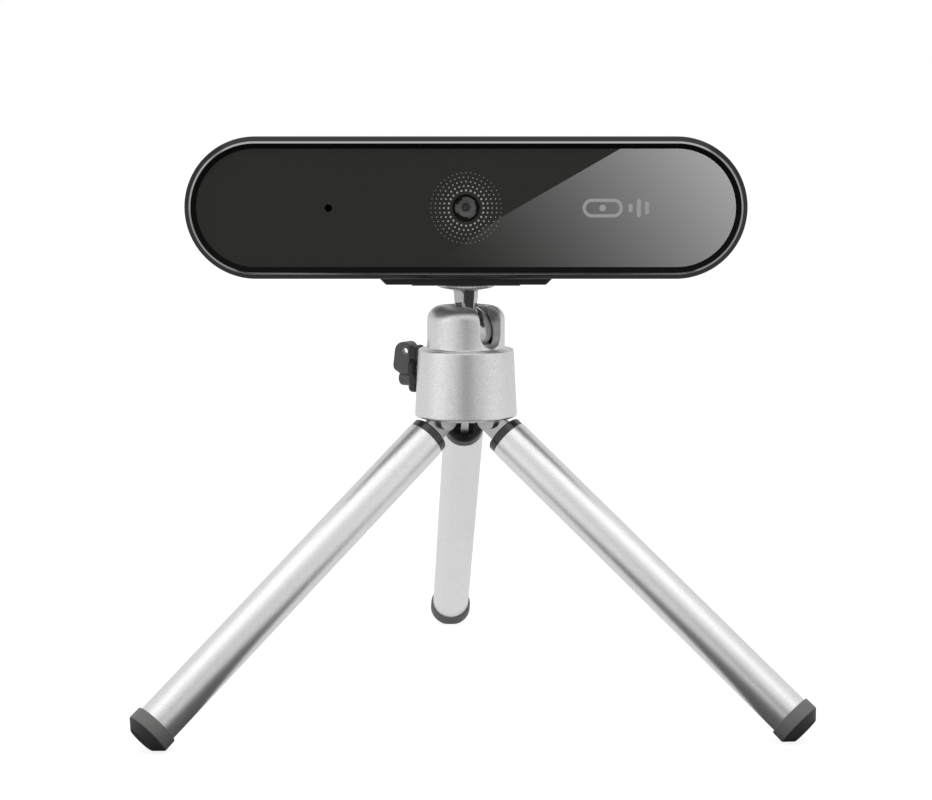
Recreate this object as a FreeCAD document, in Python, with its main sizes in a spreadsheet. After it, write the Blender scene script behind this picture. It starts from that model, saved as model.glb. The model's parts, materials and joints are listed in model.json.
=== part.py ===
"""Webcam on a folding ball-head mini tripod, as an assembly of separate pieces.

Frame: millimetres, +Z up, the camera looks along -Y. The pieces are laid out round the tripod's
axis and carried at the end so that the origin is on the floor at the middle of the footprint.
"""
import FreeCAD, Part
import Sketcher
import math
import os
from FreeCAD import Placement, Rotation, Vector

# ---------------------------------------------------------------- driving dimensions
SIZES = {
    # leg, measured along its own axis from the hinge pin
    "leg_splay": (50.3, "angle of an open leg from the vertical"),
    "leg_reach": (82.9, "hinge pin to the top edge of the foot cap"),
    "tube_dia": (8.2, "leg tube, outside"),
    "tube_wall": (0.8, "leg tube wall"),
    "plug_start": (3.8, "hinge pin to the top of the plug collar"),
    "plug_collar": (1.7, "plug collar, along the leg"),
    "plug_collar_dia": (8.0, "plug collar, outside"),
    "plug_depth": (7.5, "plug inside the tube"),
    "foot_wall": (0.5, "foot cap wall round the tube"),
    "foot_skirt": (2.6, "straight part of the foot cap"),
    "foot_taper": (1.6, "tapered end of the foot cap, along the leg"),
    "foot_tip_dia": (5.6, "flat tip of the foot cap"),
    "foot_flat": (0.25, "rubber flattened where a foot stands on the floor"),
    "lug_thick": (1.5, "leg lug plate"),
    "lug_round": (2.4, "radius of the lug round its pin"),
    "lug_grip": (6.5, "lug inside the plug"),
    # leg hinges under the head
    "hinge_circle": (5.4, "tripod axis to a leg hinge pin"),
    "hinge_pin_dia": (1.5, "leg hinge pin"),
    "ear_thick": (1.2, "one ear of a leg clevis"),
    "ear_round": (1.9, "radius of an ear round its pin"),
    "rim_rise": (0.44, "head rim above the hinge pins"),
    "turn": (3.0, "the tripod's turn about its axis"),
    # head
    "rim_dia": (20.6, "head at its rim"),
    "collar_dia": (19.2, "head at the top of the collar"),
    "collar_height": (13.75, "rim to the collar's shoulder"),
    "dome_dia": (15.6, "dome outside"),
    "dome_height": (8.65, "shoulder to the dome's top"),
    "dome_round": (2.9, "rounding of the dome's top edge"),
    "mouth_dia": (8.4, "opening in the dome's top"),
    "edge_round": (0.45, "rounding of the collar's edges"),
    "cavity_dia": (18.0, "cavity for the leg hinges"),
    "cavity_depth": (5.6, "depth of that cavity"),
    "yoke_thick": (2.9, "plate of the leg yoke"),
    "web": (2.0, "metal between hinge cavity and ball bore"),
    "slot_azimuth": (312.0, "direction of the slot that the stem drops into"),
    # ball, stem and locking plate
    "ball_dia": (11.0, "ball"),
    "ball_drop": (5.4, "dome top to ball centre"),
    "stem_flats": (4.5, "hexagonal stem across its flats"),
    "stem_top": (8.3, "ball centre to the top of the stem"),
    "shoulder": (0.35, "conical shoulder between the stem and the locking plate"),
    "plate_dia": (11.2, "knurled locking plate"),
    "plate_foot_dia": (7.2, "its lower edge"),
    "plate_thick": (0.95, "knurled locking plate"),
    "screw_dia": (6.2, "quarter inch camera screw, over its thread"),
    "screw_height": (4.6, "camera screw above the locking plate"),
    # locking knob
    "knob_azimuth": (151.0, "direction of the locking knob"),
    "knob_rise": (9.2, "rim to the knob's axis"),
    "knob_screw_dia": (3.0, "clamping screw"),
    "knob_disc_dia": (10.0, "knob's disc"),
    "knob_disc_thick": (1.2, "knob's disc"),
    "knob_gap": (0.5, "collar to the knob's disc"),
    "knob_hub_dia": (3.6, "knob's hub"),
    "knob_length": (4.4, "handle beyond the disc"),
    "wing_up": (5.4, "axis to the tip of the long wing"),
    "wing_down": (4.2, "axis to the tip of the short wing"),
    "wing_thick": (2.2, "long wing"),
    "wing_width": (3.6, "wings, along the axis"),
    # seat
    "seat_height": (3.9, "cup under the ball"),
    # camera
    "camera_width": (109.4, "housing, end to end"),
    "camera_height": (27.6, "housing"),
    "front_to_axis": (13.0, "tripod axis to the front of the housing"),
    "bezel_depth": (4.4, "front frame"),
    "shell_depth": (20.4, "rear shell"),
    "shell_taper": (9.0, "taper of the rear shell, degrees"),
    "shell_wall": (1.6, "rear shell wall"),
    "tongue_reach": (1.5, "front frame's tongue inside the shell"),
    "rim_width": (1.35, "front frame's visible rim"),
    "rim_round": (1.1, "rounding of the front outer edge"),
    "back_round": (4.0, "rounding of the rear edge"),
    "panel_thick": (1.2, "front panel"),
    "panel_sink": (0.75, "panel surface behind the rim"),
    "panel_bevel": (1.0, "width of the panel's bevelled border"),
    "panel_bevel_depth": (0.35, "depth of that border"),
    "ledge": (1.5, "ledge that carries the panel"),
    "tape_thick": (0.2, "adhesive tape under the panel"),
    "lens_hole_dia": (5.3, "hole for the lens"),
    "mic_hole_dia": (1.45, "microphone hole"),
    "mic_offset": (26.7, "lens to the microphone hole"),
    "barrel_dia": (5.0, "lens barrel"),
    "barrel_length": (6.6, "lens barrel"),
    "barrel_sink": (0.35, "barrel face behind the panel's surface"),
    "pupil_dia": (1.5, "front glass of the lens"),
    "board_width": (66.0, "circuit board"),
    "board_height": (16.0, "circuit board"),
    "board_thick": (1.2, "circuit board"),
    "board_depth": (10.0, "front of the housing to the board"),
    "post_dia": (4.4, "screw posts in the shell"),
    "post_reach": (30.0, "lens to the posts, sideways"),
    "post_rise": (5.8, "board centre to the posts, up and down"),
    "gland_dia": (5.0, "cable gland through the wall"),
    "gland_flange_dia": (7.4, "flange inside the wall"),
    "gland_length": (5.0, "gland outside the wall"),
    "cable_hole_dia": (3.6, "cable inlet"),
    # clip under the camera
    "clip_width": (34.8, "clip frame"),
    "clip_sink": (1.5, "clip frame below the housing"),
    "clip_thick": (5.4, "clip frame"),
    "clip_front": (7.0, "tripod axis to the front of the clip"),
    "clip_chamfer": (1.6, "lower side edges of the clip frame"),
    "clip_web": (0.8, "roof of the clip frame over its leg"),
    "arm_width": (21.4, "folding leg of the clip"),
    "arm_front": (5.2, "tripod axis to the free end of the clip's leg"),
    "arm_pad": (0.6, "rubber pad under the clip's leg"),
    "arm_pad_proud": (0.3, "pad below the clip frame"),
    "clip_pin_back": (9.6, "tripod axis to the clip's pin"),
    "clip_pin_rise": (2.4, "underside of the clip frame to its pin"),
    "clip_pin_dia": (2.0, "clip's pin"),
    "clip_round": (2.5, "knuckles round the pin"),
    "lug_width": (2.2, "housing's hinge lug"),
    "lug_offset": (14.3, "centre plane to a hinge lug"),
    "insert_dia": (8.4, "brass insert, outside"),
    "insert_bore_dia": (6.35, "brass insert, quarter inch thread"),
    # clearances
    "slip": (0.05, "running and sliding fits, each side"),
    "gap": (0.3, "between pieces that move past each other"),
    "bond": (0.02, "between pieces that are fixed together"),
}

doc = FreeCAD.newDocument("webcam_on_tripod")
sheet = doc.addObject("Spreadsheet::Sheet", "Sheet")


class Size:
    """A size known both as a number and as an expression on the spreadsheet's cells."""

    def __init__(self, value, text):
        self.value = float(value)
        self.text = text

    def _join(self, other, sign, value, swap=False):
        first, second = (size_of(other), self) if swap else (self, size_of(other))
        return Size(value, f"({first.text} {sign} {second.text})")

    def __add__(self, other):
        return self._join(other, "+", self.value + float(other))

    def __radd__(self, other):
        return self._join(other, "+", float(other) + self.value, swap=True)

    def __sub__(self, other):
        return self._join(other, "-", self.value - float(other))

    def __rsub__(self, other):
        return self._join(other, "-", float(other) - self.value, swap=True)

    def __mul__(self, other):
        return self._join(other, "*", self.value * float(other))

    def __rmul__(self, other):
        return self._join(other, "*", float(other) * self.value, swap=True)

    def __truediv__(self, other):
        return self._join(other, "/", self.value / float(other))

    def __neg__(self):
        return Size(-self.value, f"(0 - {self.text})")

    def __float__(self):
        return self.value


def size_of(value):
    """value as a Size; a plain number is its own expression."""
    return value if isinstance(value, Size) else Size(value, repr(float(value)))


class Driving:
    """The spreadsheet's cells, one attribute each."""


d = Driving()
for row, (alias, (value, meaning)) in enumerate(SIZES.items(), start=1):
    sheet.set(f"A{row}", str(value))
    sheet.setAlias(f"A{row}", alias)
    sheet.set(f"B{row}", meaning)
    setattr(d, alias, Size(value, f"Sheet.{alias}"))
doc.recompute()

X_AXIS, Y_AXIS, Z_AXIS = Vector(1, 0, 0), Vector(0, 1, 0), Vector(0, 0, 1)
NO_TURN = Rotation()
ALONG_X = Rotation(Y_AXIS, 90)   # turns a solid made along +Z to +X
ALONG_Y = Rotation(X_AXIS, -90)  # turns a solid made along +Z to +Y
names = {}


# ---------------------------------------------------------------- shared helpers
def unique(name):
    """name, numbered from its second use on."""
    names[name] = names.get(name, 0) + 1
    return name if names[name] == 1 else f"{name}_{names[name]}"


def bind(obj, **sizes):
    """Ties properties of obj to the spreadsheet."""
    for prop, size in sizes.items():
        obj.setExpression(prop, size_of(size).text)
    return obj


def put(obj, at, turn=NO_TURN):
    """Places obj, with its position tied to the spreadsheet."""
    obj.Placement = Placement(Vector(*(float(c) for c in at)), turn)
    for axis, c in zip("xyz", at):
        obj.setExpression(f".Placement.Base.{axis}", size_of(c).text)
    return obj


def cylinder(name, dia, height, at=(0, 0, 0), turn=NO_TURN):
    obj = doc.addObject("Part::Cylinder", unique(name))
    bind(obj, Radius=size_of(dia) / 2, Height=height)
    return put(obj, at, turn)


def cone(name, dia_low, dia_high, height, at=(0, 0, 0), turn=NO_TURN):
    obj = doc.addObject("Part::Cone", unique(name))
    bind(obj, Radius1=size_of(dia_low) / 2, Radius2=size_of(dia_high) / 2, Height=height)
    return put(obj, at, turn)


def sphere(name, dia, at):
    obj = doc.addObject("Part::Sphere", unique(name))
    bind(obj, Radius=size_of(dia) / 2)
    return put(obj, at)


def box(name, low, high):
    """A box from its lowest to its highest corner."""
    obj = doc.addObject("Part::Box", unique(name))
    lengths = [size_of(b) - size_of(a) for a, b in zip(low, high)]
    bind(obj, Length=lengths[0], Width=lengths[1], Height=lengths[2])
    return put(obj, low)


def fuse(name, *parts):
    obj = doc.addObject("Part::MultiFuse", unique(name))
    obj.Shapes = list(parts)
    return obj


def cut(name, base, *tools):
    obj = doc.addObject("Part::Cut", unique(name))
    obj.Base = base
    obj.Tool = tools[0] if len(tools) == 1 else fuse(f"{name}_tools", *tools)
    return obj


def plane_of(body, role):
    return next(f for f in body.Origin.OriginFeatures if f.Role == role)


def new_sketch(body, role):
    sketch = body.newObject("Sketcher::SketchObject", unique(f"{body.Name}_sketch"))
    sketch.AttachmentSupport = [(plane_of(body, role), "")]
    sketch.MapMode = "FlatFace"
    return sketch


def pin_point(sketch, geometry, point, x=None, y=None):
    """Ties a sketch point's distances from the origin to the spreadsheet."""
    for kind, size in (("DistanceX", x), ("DistanceY", y)):
        if size is not None:
            row = sketch.addConstraint(
                Sketcher.Constraint(kind, -1, 1, geometry, point, float(size)))
            sketch.setExpression(f"Constraints[{row}]", size_of(size).text)


def polygon_sketch(body, role, points):
    """A closed polygon whose corners are tied to the spreadsheet."""
    sketch = new_sketch(body, role)
    corners = [Vector(float(x), float(y), 0) for x, y in points]
    for a, b in zip(corners, corners[1:] + corners[:1]):
        sketch.addGeometry(Part.LineSegment(a, b))
    for i, (x, y) in enumerate(points):
        sketch.addConstraint(
            Sketcher.Constraint("Coincident", i - 1 if i else len(points) - 1, 2, i, 1))
        pin_point(sketch, i, 1, x, y)
    return sketch


def turned(name, points):
    """A body turned about +Z from a half section of (radius, height) corners."""
    body = doc.addObject("PartDesign::Body", unique(name))
    sketch = polygon_sketch(body, "XZ_Plane", points)
    turning = body.newObject("PartDesign::Revolution", unique(f"{name}_turning"))
    turning.Profile = sketch
    turning.ReferenceAxis = (sketch, ["V_Axis"])
    turning.Angle = 360
    doc.recompute()
    return body


def extruded(name, role, points, length, back=False):
    """A body padded from a polygon, along the plane's normal or back along it."""
    body = doc.addObject("PartDesign::Body", unique(name))
    sketch = polygon_sketch(body, role, points)
    pad = body.newObject("PartDesign::Pad", unique(f"{name}_pad"))
    pad.Profile = sketch
    pad.Reversed = back
    bind(pad, Length=length)
    doc.recompute()
    return body


def stadium(name, width, height, depth, front, rise, taper=None):
    """A body with round ends, as wide and high as given, from front along +Y, its centre at rise."""
    body = doc.addObject("PartDesign::Body", unique(name))
    sketch = new_sketch(body, "XZ_Plane")
    straight, radius = (size_of(width) - height) / 2, size_of(height) / 2
    a, r = float(straight), float(radius)
    sketch.addGeometry(Part.LineSegment(Vector(-a, r, 0), Vector(a, r, 0)))
    sketch.addGeometry(Part.LineSegment(Vector(-a, -r, 0), Vector(a, -r, 0)))
    right = Part.Circle(Vector(a, 0, 0), Z_AXIS, r)
    left = Part.Circle(Vector(-a, 0, 0), Z_AXIS, r)
    sketch.addGeometry(Part.ArcOfCircle(right, -math.pi / 2, math.pi / 2))
    sketch.addGeometry(Part.ArcOfCircle(left, math.pi / 2, 3 * math.pi / 2))
    for first, end, second, start in ((0, 2, 2, 2), (1, 2, 2, 1), (0, 1, 3, 1), (1, 1, 3, 2)):
        sketch.addConstraint(Sketcher.Constraint("Coincident", first, end, second, start))
    pin_point(sketch, 0, 1, -straight, radius)
    pin_point(sketch, 0, 2, straight, radius)
    pin_point(sketch, 1, 1, -straight, -radius)
    pin_point(sketch, 1, 2, straight, -radius)
    pin_point(sketch, 2, 3, straight)
    pin_point(sketch, 3, 3, -straight)
    pad = body.newObject("PartDesign::Pad", unique(f"{name}_pad"))
    pad.Profile = sketch
    pad.Reversed = True
    bind(pad, Length=depth)
    if taper is not None:
        bind(pad, TaperAngle=-size_of(taper))
    doc.recompute()
    return put(body, (0, front, rise))


def edges_where(shape, test):
    """Names of the edges whose every vertex passes test."""
    return [f"Edge{i}" for i, e in enumerate(shape.Edges, start=1)
            if all(test(v.Point) for v in e.Vertexes)]


def soften(body, kind, size, test):
    """Adds a PartDesign fillet or chamfer on the edges whose vertices pass test."""
    tip = body.Tip
    feature = body.newObject(f"PartDesign::{kind}", unique(f"{body.Name}_{kind.lower()}"))
    feature.Base = (tip, edges_where(tip.Shape, test))
    bind(feature, **{"Radius" if kind == "Fillet" else "Size": size})
    doc.recompute()
    return body


def near(a, b):
    return abs(a - float(b)) < 1e-4


def about_z(azimuth):
    """A turn about the tripod's axis, in degrees."""
    return Placement(Vector(), Rotation(Z_AXIS, float(azimuth)))


def carry(obj, frame):
    """Moves a placed piece with frame, from where it is now."""
    for axis in "xyz":
        obj.setExpression(f".Placement.Base.{axis}", None)
    obj.Placement = frame.multiply(obj.Placement)
    return obj


nodes = []


def node(label, obj, frame=None):
    """Marks obj as a finished piece; frame carries a piece made in a frame of its own."""
    obj.Label = label
    if frame is not None:
        carry(obj, frame)
    nodes.append(obj)
    return obj


# ---------------------------------------------------------------- levels
splay = math.radians(float(d.leg_splay))
foot_dia = d.tube_dia + 2 * (d.foot_wall + d.bond)
skirt_end = d.leg_reach + d.foot_skirt
foot_end = skirt_end + d.foot_taper
# the foot cap touches the floor at the end of its skirt or at the edge of its tip
hinge_rise = max(
    float(skirt_end) * math.cos(splay) + float(foot_dia) / 2 * math.sin(splay),
    float(foot_end) * math.cos(splay) + float(d.foot_tip_dia) / 2 * math.sin(splay),
)
hinge_z = Size(hinge_rise, repr(hinge_rise)) - d.foot_flat
rim_z = hinge_z + d.rim_rise
shoulder_z = rim_z + d.collar_height
dome_z = shoulder_z + d.dome_height
ball_z = dome_z - d.ball_drop
cavity_z = rim_z + d.cavity_depth
bore_floor_z = cavity_z + d.web
knob_z = rim_z + d.knob_rise
seat_z = knob_z + d.knob_screw_dia / 2 + 0.15
stem_z = ball_z + d.stem_top
shoulder_top_z = stem_z + d.shoulder
plate_z = shoulder_top_z + d.plate_thick
arm_z = plate_z + d.slip
clip_z = arm_z + d.arm_pad_proud
housing_z = clip_z + d.clip_sink
camera_z = housing_z + d.camera_height / 2
leg_azimuths = [90 + 120 * k + float(d.turn) for k in range(3)]


# ---------------------------------------------------------------- legs
def leg_frame(azimuth):
    """A frame on a leg's hinge pin: +Z along the leg, Y along the pin."""
    at = Rotation(Z_AXIS, azimuth).multVec(Vector(float(d.hinge_circle), 0, float(hinge_z)))
    turn = Rotation(Z_AXIS, azimuth).multiply(Rotation(Y_AXIS, 180 - float(d.leg_splay)))
    return Placement(at, turn)


def leg(number, frame):
    tube_r = d.tube_dia / 2
    bore_r = tube_r - d.tube_wall
    plug_r = bore_r - d.bond
    tube_start = d.plug_start + d.plug_collar
    tube_end = skirt_end
    pin_at = tube_start + 3.5
    lug_end = tube_start + d.lug_grip
    pin_hole = d.hinge_pin_dia + 2 * d.slip

    tube = turned("tube", [(bore_r, tube_start), (tube_r, tube_start),
                           (tube_r, tube_end), (bore_r, tube_end)])
    node(f"leg_tube_{number}", tube, frame)

    foot_r = foot_dia / 2
    seat_r = tube_r + d.bond
    foot = turned("foot", [(seat_r, d.leg_reach), (foot_r, d.leg_reach), (foot_r, skirt_end),
                           (d.foot_tip_dia / 2, foot_end), (0, foot_end),
                           (0, tube_end + d.bond), (seat_r, tube_end + d.bond)])
    soften(foot, "Fillet", 0.3, lambda p: near(math.hypot(p.x, p.y), foot_r) and near(p.z, skirt_end))
    floor = carry(box("floor", (-150, -150, -9), (150, 150, 0)), frame.inverse())
    node(f"foot_cap_{number}", cut("flattened_foot", foot, floor), frame)

    collar_r = d.plug_collar_dia / 2
    plug = turned("plug", [(0, d.plug_start), (collar_r, d.plug_start), (collar_r, tube_start),
                           (plug_r, tube_start), (plug_r, tube_start + d.plug_depth),
                           (0, tube_start + d.plug_depth)])
    soften(plug, "Chamfer", 0.3, lambda p: near(p.z, d.plug_start) and math.hypot(p.x, p.y) > 1)
    slot_half = d.lug_round + d.bond
    slot = box("lug_slot", (-slot_half, -d.lug_thick / 2 - d.bond, d.plug_start - 1),
               (slot_half, d.lug_thick / 2 + d.bond, lug_end + 0.2))
    cross = cylinder("plug_pin_hole", pin_hole, 12, (0, -6, pin_at), ALONG_Y)
    node(f"leg_plug_{number}", cut("plug_cut", plug, slot, cross), frame)

    bar = box("lug_bar", (-d.lug_round, -d.lug_thick / 2, 0), (d.lug_round, d.lug_thick / 2, lug_end))
    eye = cylinder("lug_eye", 2 * d.lug_round, d.lug_thick, (0, -d.lug_thick / 2, 0), ALONG_Y)
    eye_hole = cylinder("lug_eye_hole", pin_hole, 12, (0, -6, 0), ALONG_Y)
    grip_hole = cylinder("lug_grip_hole", pin_hole, 12, (0, -6, pin_at), ALONG_Y)
    node(f"leg_lug_{number}", cut("lug_cut", fuse("lug", bar, eye), eye_hole, grip_hole), frame)

    half = bore_r - 0.25
    cross_pin = cylinder("cross_pin", d.hinge_pin_dia, 2 * half, (0, -half, pin_at), ALONG_Y)
    node(f"plug_pin_{number}", cross_pin, frame)


def hinge_pins_and_yoke():
    """The plate with three clevises that closes the head's underside, its rivet and the leg pins."""
    plate_low = cavity_z - d.bond - d.yoke_thick
    disc = cylinder("yoke_disc", d.cavity_dia - 2 * d.bond, d.yoke_thick, (0, 0, plate_low))
    inner = d.lug_thick / 2 + 0.1
    outer = inner + d.ear_thick
    ears, holes, pins = [], [], []
    for azimuth in leg_azimuths:
        turn = about_z(azimuth)
        for side in (-1, 1):
            low = inner if side > 0 else -outer
            root = box("ear_root", (d.hinge_circle - d.ear_round, low, hinge_z),
                       (d.hinge_circle + d.ear_round, low + d.ear_thick, plate_low + 0.1))
            at = (d.hinge_circle, low, hinge_z)
            tip = cylinder("ear_tip", 2 * d.ear_round, d.ear_thick, at, ALONG_Y)
            ears.append(carry(fuse("ear", root, tip), turn))
        hole_dia = d.hinge_pin_dia + 2 * d.bond
        hole = cylinder("ear_hole", hole_dia, 12, (d.hinge_circle, -6, hinge_z), ALONG_Y)
        pin_at = (d.hinge_circle, -outer, hinge_z)
        pin = cylinder("leg_pin", d.hinge_pin_dia, 2 * outer, pin_at, ALONG_Y)
        holes.append(carry(hole, turn))
        pins.append(carry(pin, turn))
    rivet_hole = cylinder("rivet_hole", 3 + 2 * d.bond, d.yoke_thick + 2, (0, 0, plate_low - 1))
    node("leg_yoke", cut("yoke", fuse("yoke_solid", disc, *ears), *holes, rivet_hole))
    node("leg_hinge_pins", fuse("leg_pins", *pins))
    head = cone("rivet_head", 3.6, 5.2, 0.8, (0, 0, plate_low - 0.8))
    shank = cylinder("rivet_shank", 3, d.yoke_thick + d.bond + d.web, (0, 0, plate_low))
    node("yoke_rivet", fuse("rivet", head, shank))


# ---------------------------------------------------------------- head
def head_casting():
    rim_r, collar_r, dome_r = d.rim_dia / 2, d.collar_dia / 2, d.dome_dia / 2
    outside = turned("head", [(0, rim_z), (rim_r, rim_z), (collar_r, shoulder_z),
                              (dome_r, shoulder_z), (dome_r, dome_z), (0, dome_z)])
    soften(outside, "Fillet", d.dome_round, lambda p: near(p.z, dome_z) and math.hypot(p.x, p.y) > 1)
    soften(outside, "Fillet", d.edge_round, lambda p: near(math.hypot(p.x, p.y), collar_r))
    soften(outside, "Fillet", d.edge_round, lambda p: near(math.hypot(p.x, p.y), rim_r))
    socket_dia = d.ball_dia + 2 * d.slip
    mouth = cylinder("mouth", d.mouth_dia, 10, (0, 0, ball_z))
    socket = sphere("socket", socket_dia, (0, 0, ball_z))
    bore = cylinder("ball_bore", socket_dia, ball_z - bore_floor_z, (0, 0, bore_floor_z))
    cavity = cylinder("hinge_cavity", d.cavity_dia, d.cavity_depth + 1, (0, 0, rim_z - 1))
    rivet_hole = cylinder("web_hole", 3 + 2 * d.bond, d.web + 2, (0, 0, cavity_z - 1))
    slot_half = d.stem_flats / math.cos(math.pi / 6) / 2 + d.gap / 2
    slot_run = box("slot_run", (0, -slot_half, ball_z), (12, slot_half, dome_z + 2))
    slot_foot = cylinder("slot_foot", 2 * slot_half, 12, (0, 0, ball_z), ALONG_X)
    screw_hole_dia = d.knob_screw_dia + 2 * d.slip
    screw_hole = cylinder("clamp_screw_hole", screw_hole_dia, 14, (0, 0, knob_z), ALONG_X)
    slot = carry(fuse("stem_slot", slot_run, slot_foot), about_z(d.slot_azimuth))
    carry(screw_hole, about_z(d.knob_azimuth))
    node("head_casting", cut("head_cut", outside, mouth, socket, bore, cavity, rivet_hole, slot, screw_hole))


def ball_seat():
    seat_r = d.ball_dia / 2 - 0.05
    cup = turned("seat", [(0, seat_z), (seat_r, seat_z), (seat_r, seat_z + d.seat_height),
                          (0, seat_z + d.seat_height)])
    dish = sphere("seat_dish", d.ball_dia + 2 * d.slip, (0, 0, ball_z))
    node("ball_seat", cut("seat_cut", cup, dish))


def ball_stud():
    """Ball, hexagonal stem and camera screw, turned from one bar."""
    ball = sphere("ball", d.ball_dia, (0, 0, ball_z))
    stem = doc.addObject("Part::Prism", "stem")
    stem.Polygon = 6
    bind(stem, Circumradius=d.stem_flats / 2 / math.cos(math.pi / 6), Height=d.stem_top - 2)
    put(stem, (0, 0, ball_z + 2), Rotation(Z_AXIS, 5))
    corners_dia = d.stem_flats / math.cos(math.pi / 6)
    shoulder = cone("stem_shoulder", corners_dia, d.plate_foot_dia, d.shoulder, (0, 0, stem_z))
    point_height = 0.5
    screw_height = d.plate_thick + d.screw_height - point_height
    screw = cylinder("camera_screw", d.screw_dia, screw_height, (0, 0, shoulder_top_z))
    point = cone("screw_point", d.screw_dia, d.screw_dia - 1, point_height,
                 (0, 0, shoulder_top_z + screw_height))
    node("ball_stud", fuse("stud", ball, stem, shoulder, screw, point))


def locking_plate():
    bore_r, top_r, low_r = d.screw_dia / 2 + d.bond, d.plate_dia / 2, d.plate_foot_dia / 2
    plate = turned("plate", [(bore_r, shoulder_top_z), (low_r, shoulder_top_z), (top_r, plate_z - 0.3),
                             (top_r, plate_z), (bore_r, plate_z)])
    node("locking_plate", plate)


# ---------------------------------------------------------------- knob
def knob():
    """The clamping screw and its plastic knob, made along +X and turned to their direction."""
    frame = Placement(Vector(0, 0, float(knob_z)), NO_TURN).multiply(about_z(d.knob_azimuth))
    disc_at = d.rim_dia / 2 + d.knob_gap
    handle_at = disc_at + d.knob_disc_thick
    end_at = handle_at + d.knob_length
    wing_at = end_at - d.wing_width
    disc = cylinder("knob_disc", d.knob_disc_dia, d.knob_disc_thick, (disc_at, 0, 0), ALONG_X)
    hub = cylinder("knob_hub", d.knob_hub_dia, d.knob_length - 0.4, (handle_at, 0, 0), ALONG_X)
    half, round_r = d.wing_thick / 2, d.wing_width / 2
    middle = wing_at + round_r
    long_wing = box("long_wing", (wing_at, -half, 0), (end_at, half, d.wing_up - round_r))
    long_tip = cylinder("long_tip", d.wing_width, d.wing_thick, (middle, -half, d.wing_up - round_r), ALONG_Y)
    short_r = round_r - 0.2
    short_wing = box("short_wing", (wing_at + 0.3, -half - 0.3, short_r - d.wing_down),
                     (end_at - 0.1, half + 0.3, 0))
    short_tip = cylinder("short_tip", 2 * short_r, d.wing_thick + 0.6,
                         (middle + 0.1, -half - 0.3, short_r - d.wing_down), ALONG_Y)
    eye = cylinder("wing_eye", 1.2, 8, (middle, -4, d.wing_up - round_r - 0.5), ALONG_Y)
    bore_dia = d.knob_screw_dia + 2 * d.bond
    bore = cylinder("knob_bore", bore_dia, d.knob_disc_thick + 2.5, (disc_at - 0.5, 0, 0), ALONG_X)
    solid = fuse("knob_solid", disc, hub, long_wing, long_tip, short_wing, short_tip)
    node("lock_knob", cut("knob_cut", solid, eye, bore), frame)
    tip_at, shank_at = 1.0, 3.2
    tip = cone("clamp_tip", 0.8, d.knob_screw_dia, shank_at - tip_at, (tip_at, 0, 0), ALONG_X)
    shank_length = disc_at + d.knob_disc_thick + 1.8 - shank_at
    shank = cylinder("clamp_shank", d.knob_screw_dia, shank_length, (shank_at, 0, 0), ALONG_X)
    node("clamp_screw", fuse("clamp", tip, shank), frame)


# ---------------------------------------------------------------- camera housing
front_y = -d.front_to_axis
seam_y = front_y + d.bezel_depth
back_y = seam_y + d.shell_depth
panel_y = front_y + d.panel_sink
ledge_y = panel_y + d.panel_thick + d.tape_thick
board_y = front_y + d.board_depth
pocket_z = clip_z + d.clip_thick + d.gap
pocket_half = d.clip_width / 2 + d.gap
clip_pin_z = clip_z + d.clip_pin_rise
board_z = camera_z + 0.4
gland_z = camera_z + 2.5


def inset(name, inset_by, depth, front):
    """A stadium inside the housing's outline, smaller by inset_by all round."""
    width, height = d.camera_width - 2 * inset_by, d.camera_height - 2 * inset_by
    return stadium(name, width, height, depth, front, camera_z)


def bezel_frame():
    """The front frame: a rounded rim, the panel's recess and ledge, and a tongue into the shell."""
    outside = stadium("bezel", d.camera_width, d.camera_height, d.bezel_depth, front_y, camera_z)
    soften(outside, "Fillet", d.rim_round, lambda p: near(p.y, 0))
    recess_depth = d.panel_sink + d.panel_thick + d.tape_thick
    recess = inset("panel_recess", d.rim_width, recess_depth + 1, front_y - 1)
    opening = inset("bezel_opening", d.rim_width + d.ledge, d.bezel_depth + 4, front_y - 1)
    slope = math.tan(math.radians(float(d.shell_taper)))
    tongue = inset("bezel_tongue", d.shell_wall + d.tongue_reach * slope + d.bond,
                   d.tongue_reach + 0.5, seam_y - 0.5)
    room_half = pocket_half + d.shell_wall + d.gap
    pocket_room = box("pocket_room", (-room_half, seam_y, housing_z - 1),
                      (room_half, seam_y + d.tongue_reach + 1, pocket_z + d.shell_wall + d.gap))
    solid = fuse("bezel_solid", outside, tongue)
    node("bezel_frame", cut("bezel_cut", solid, recess, opening, pocket_room))


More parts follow.
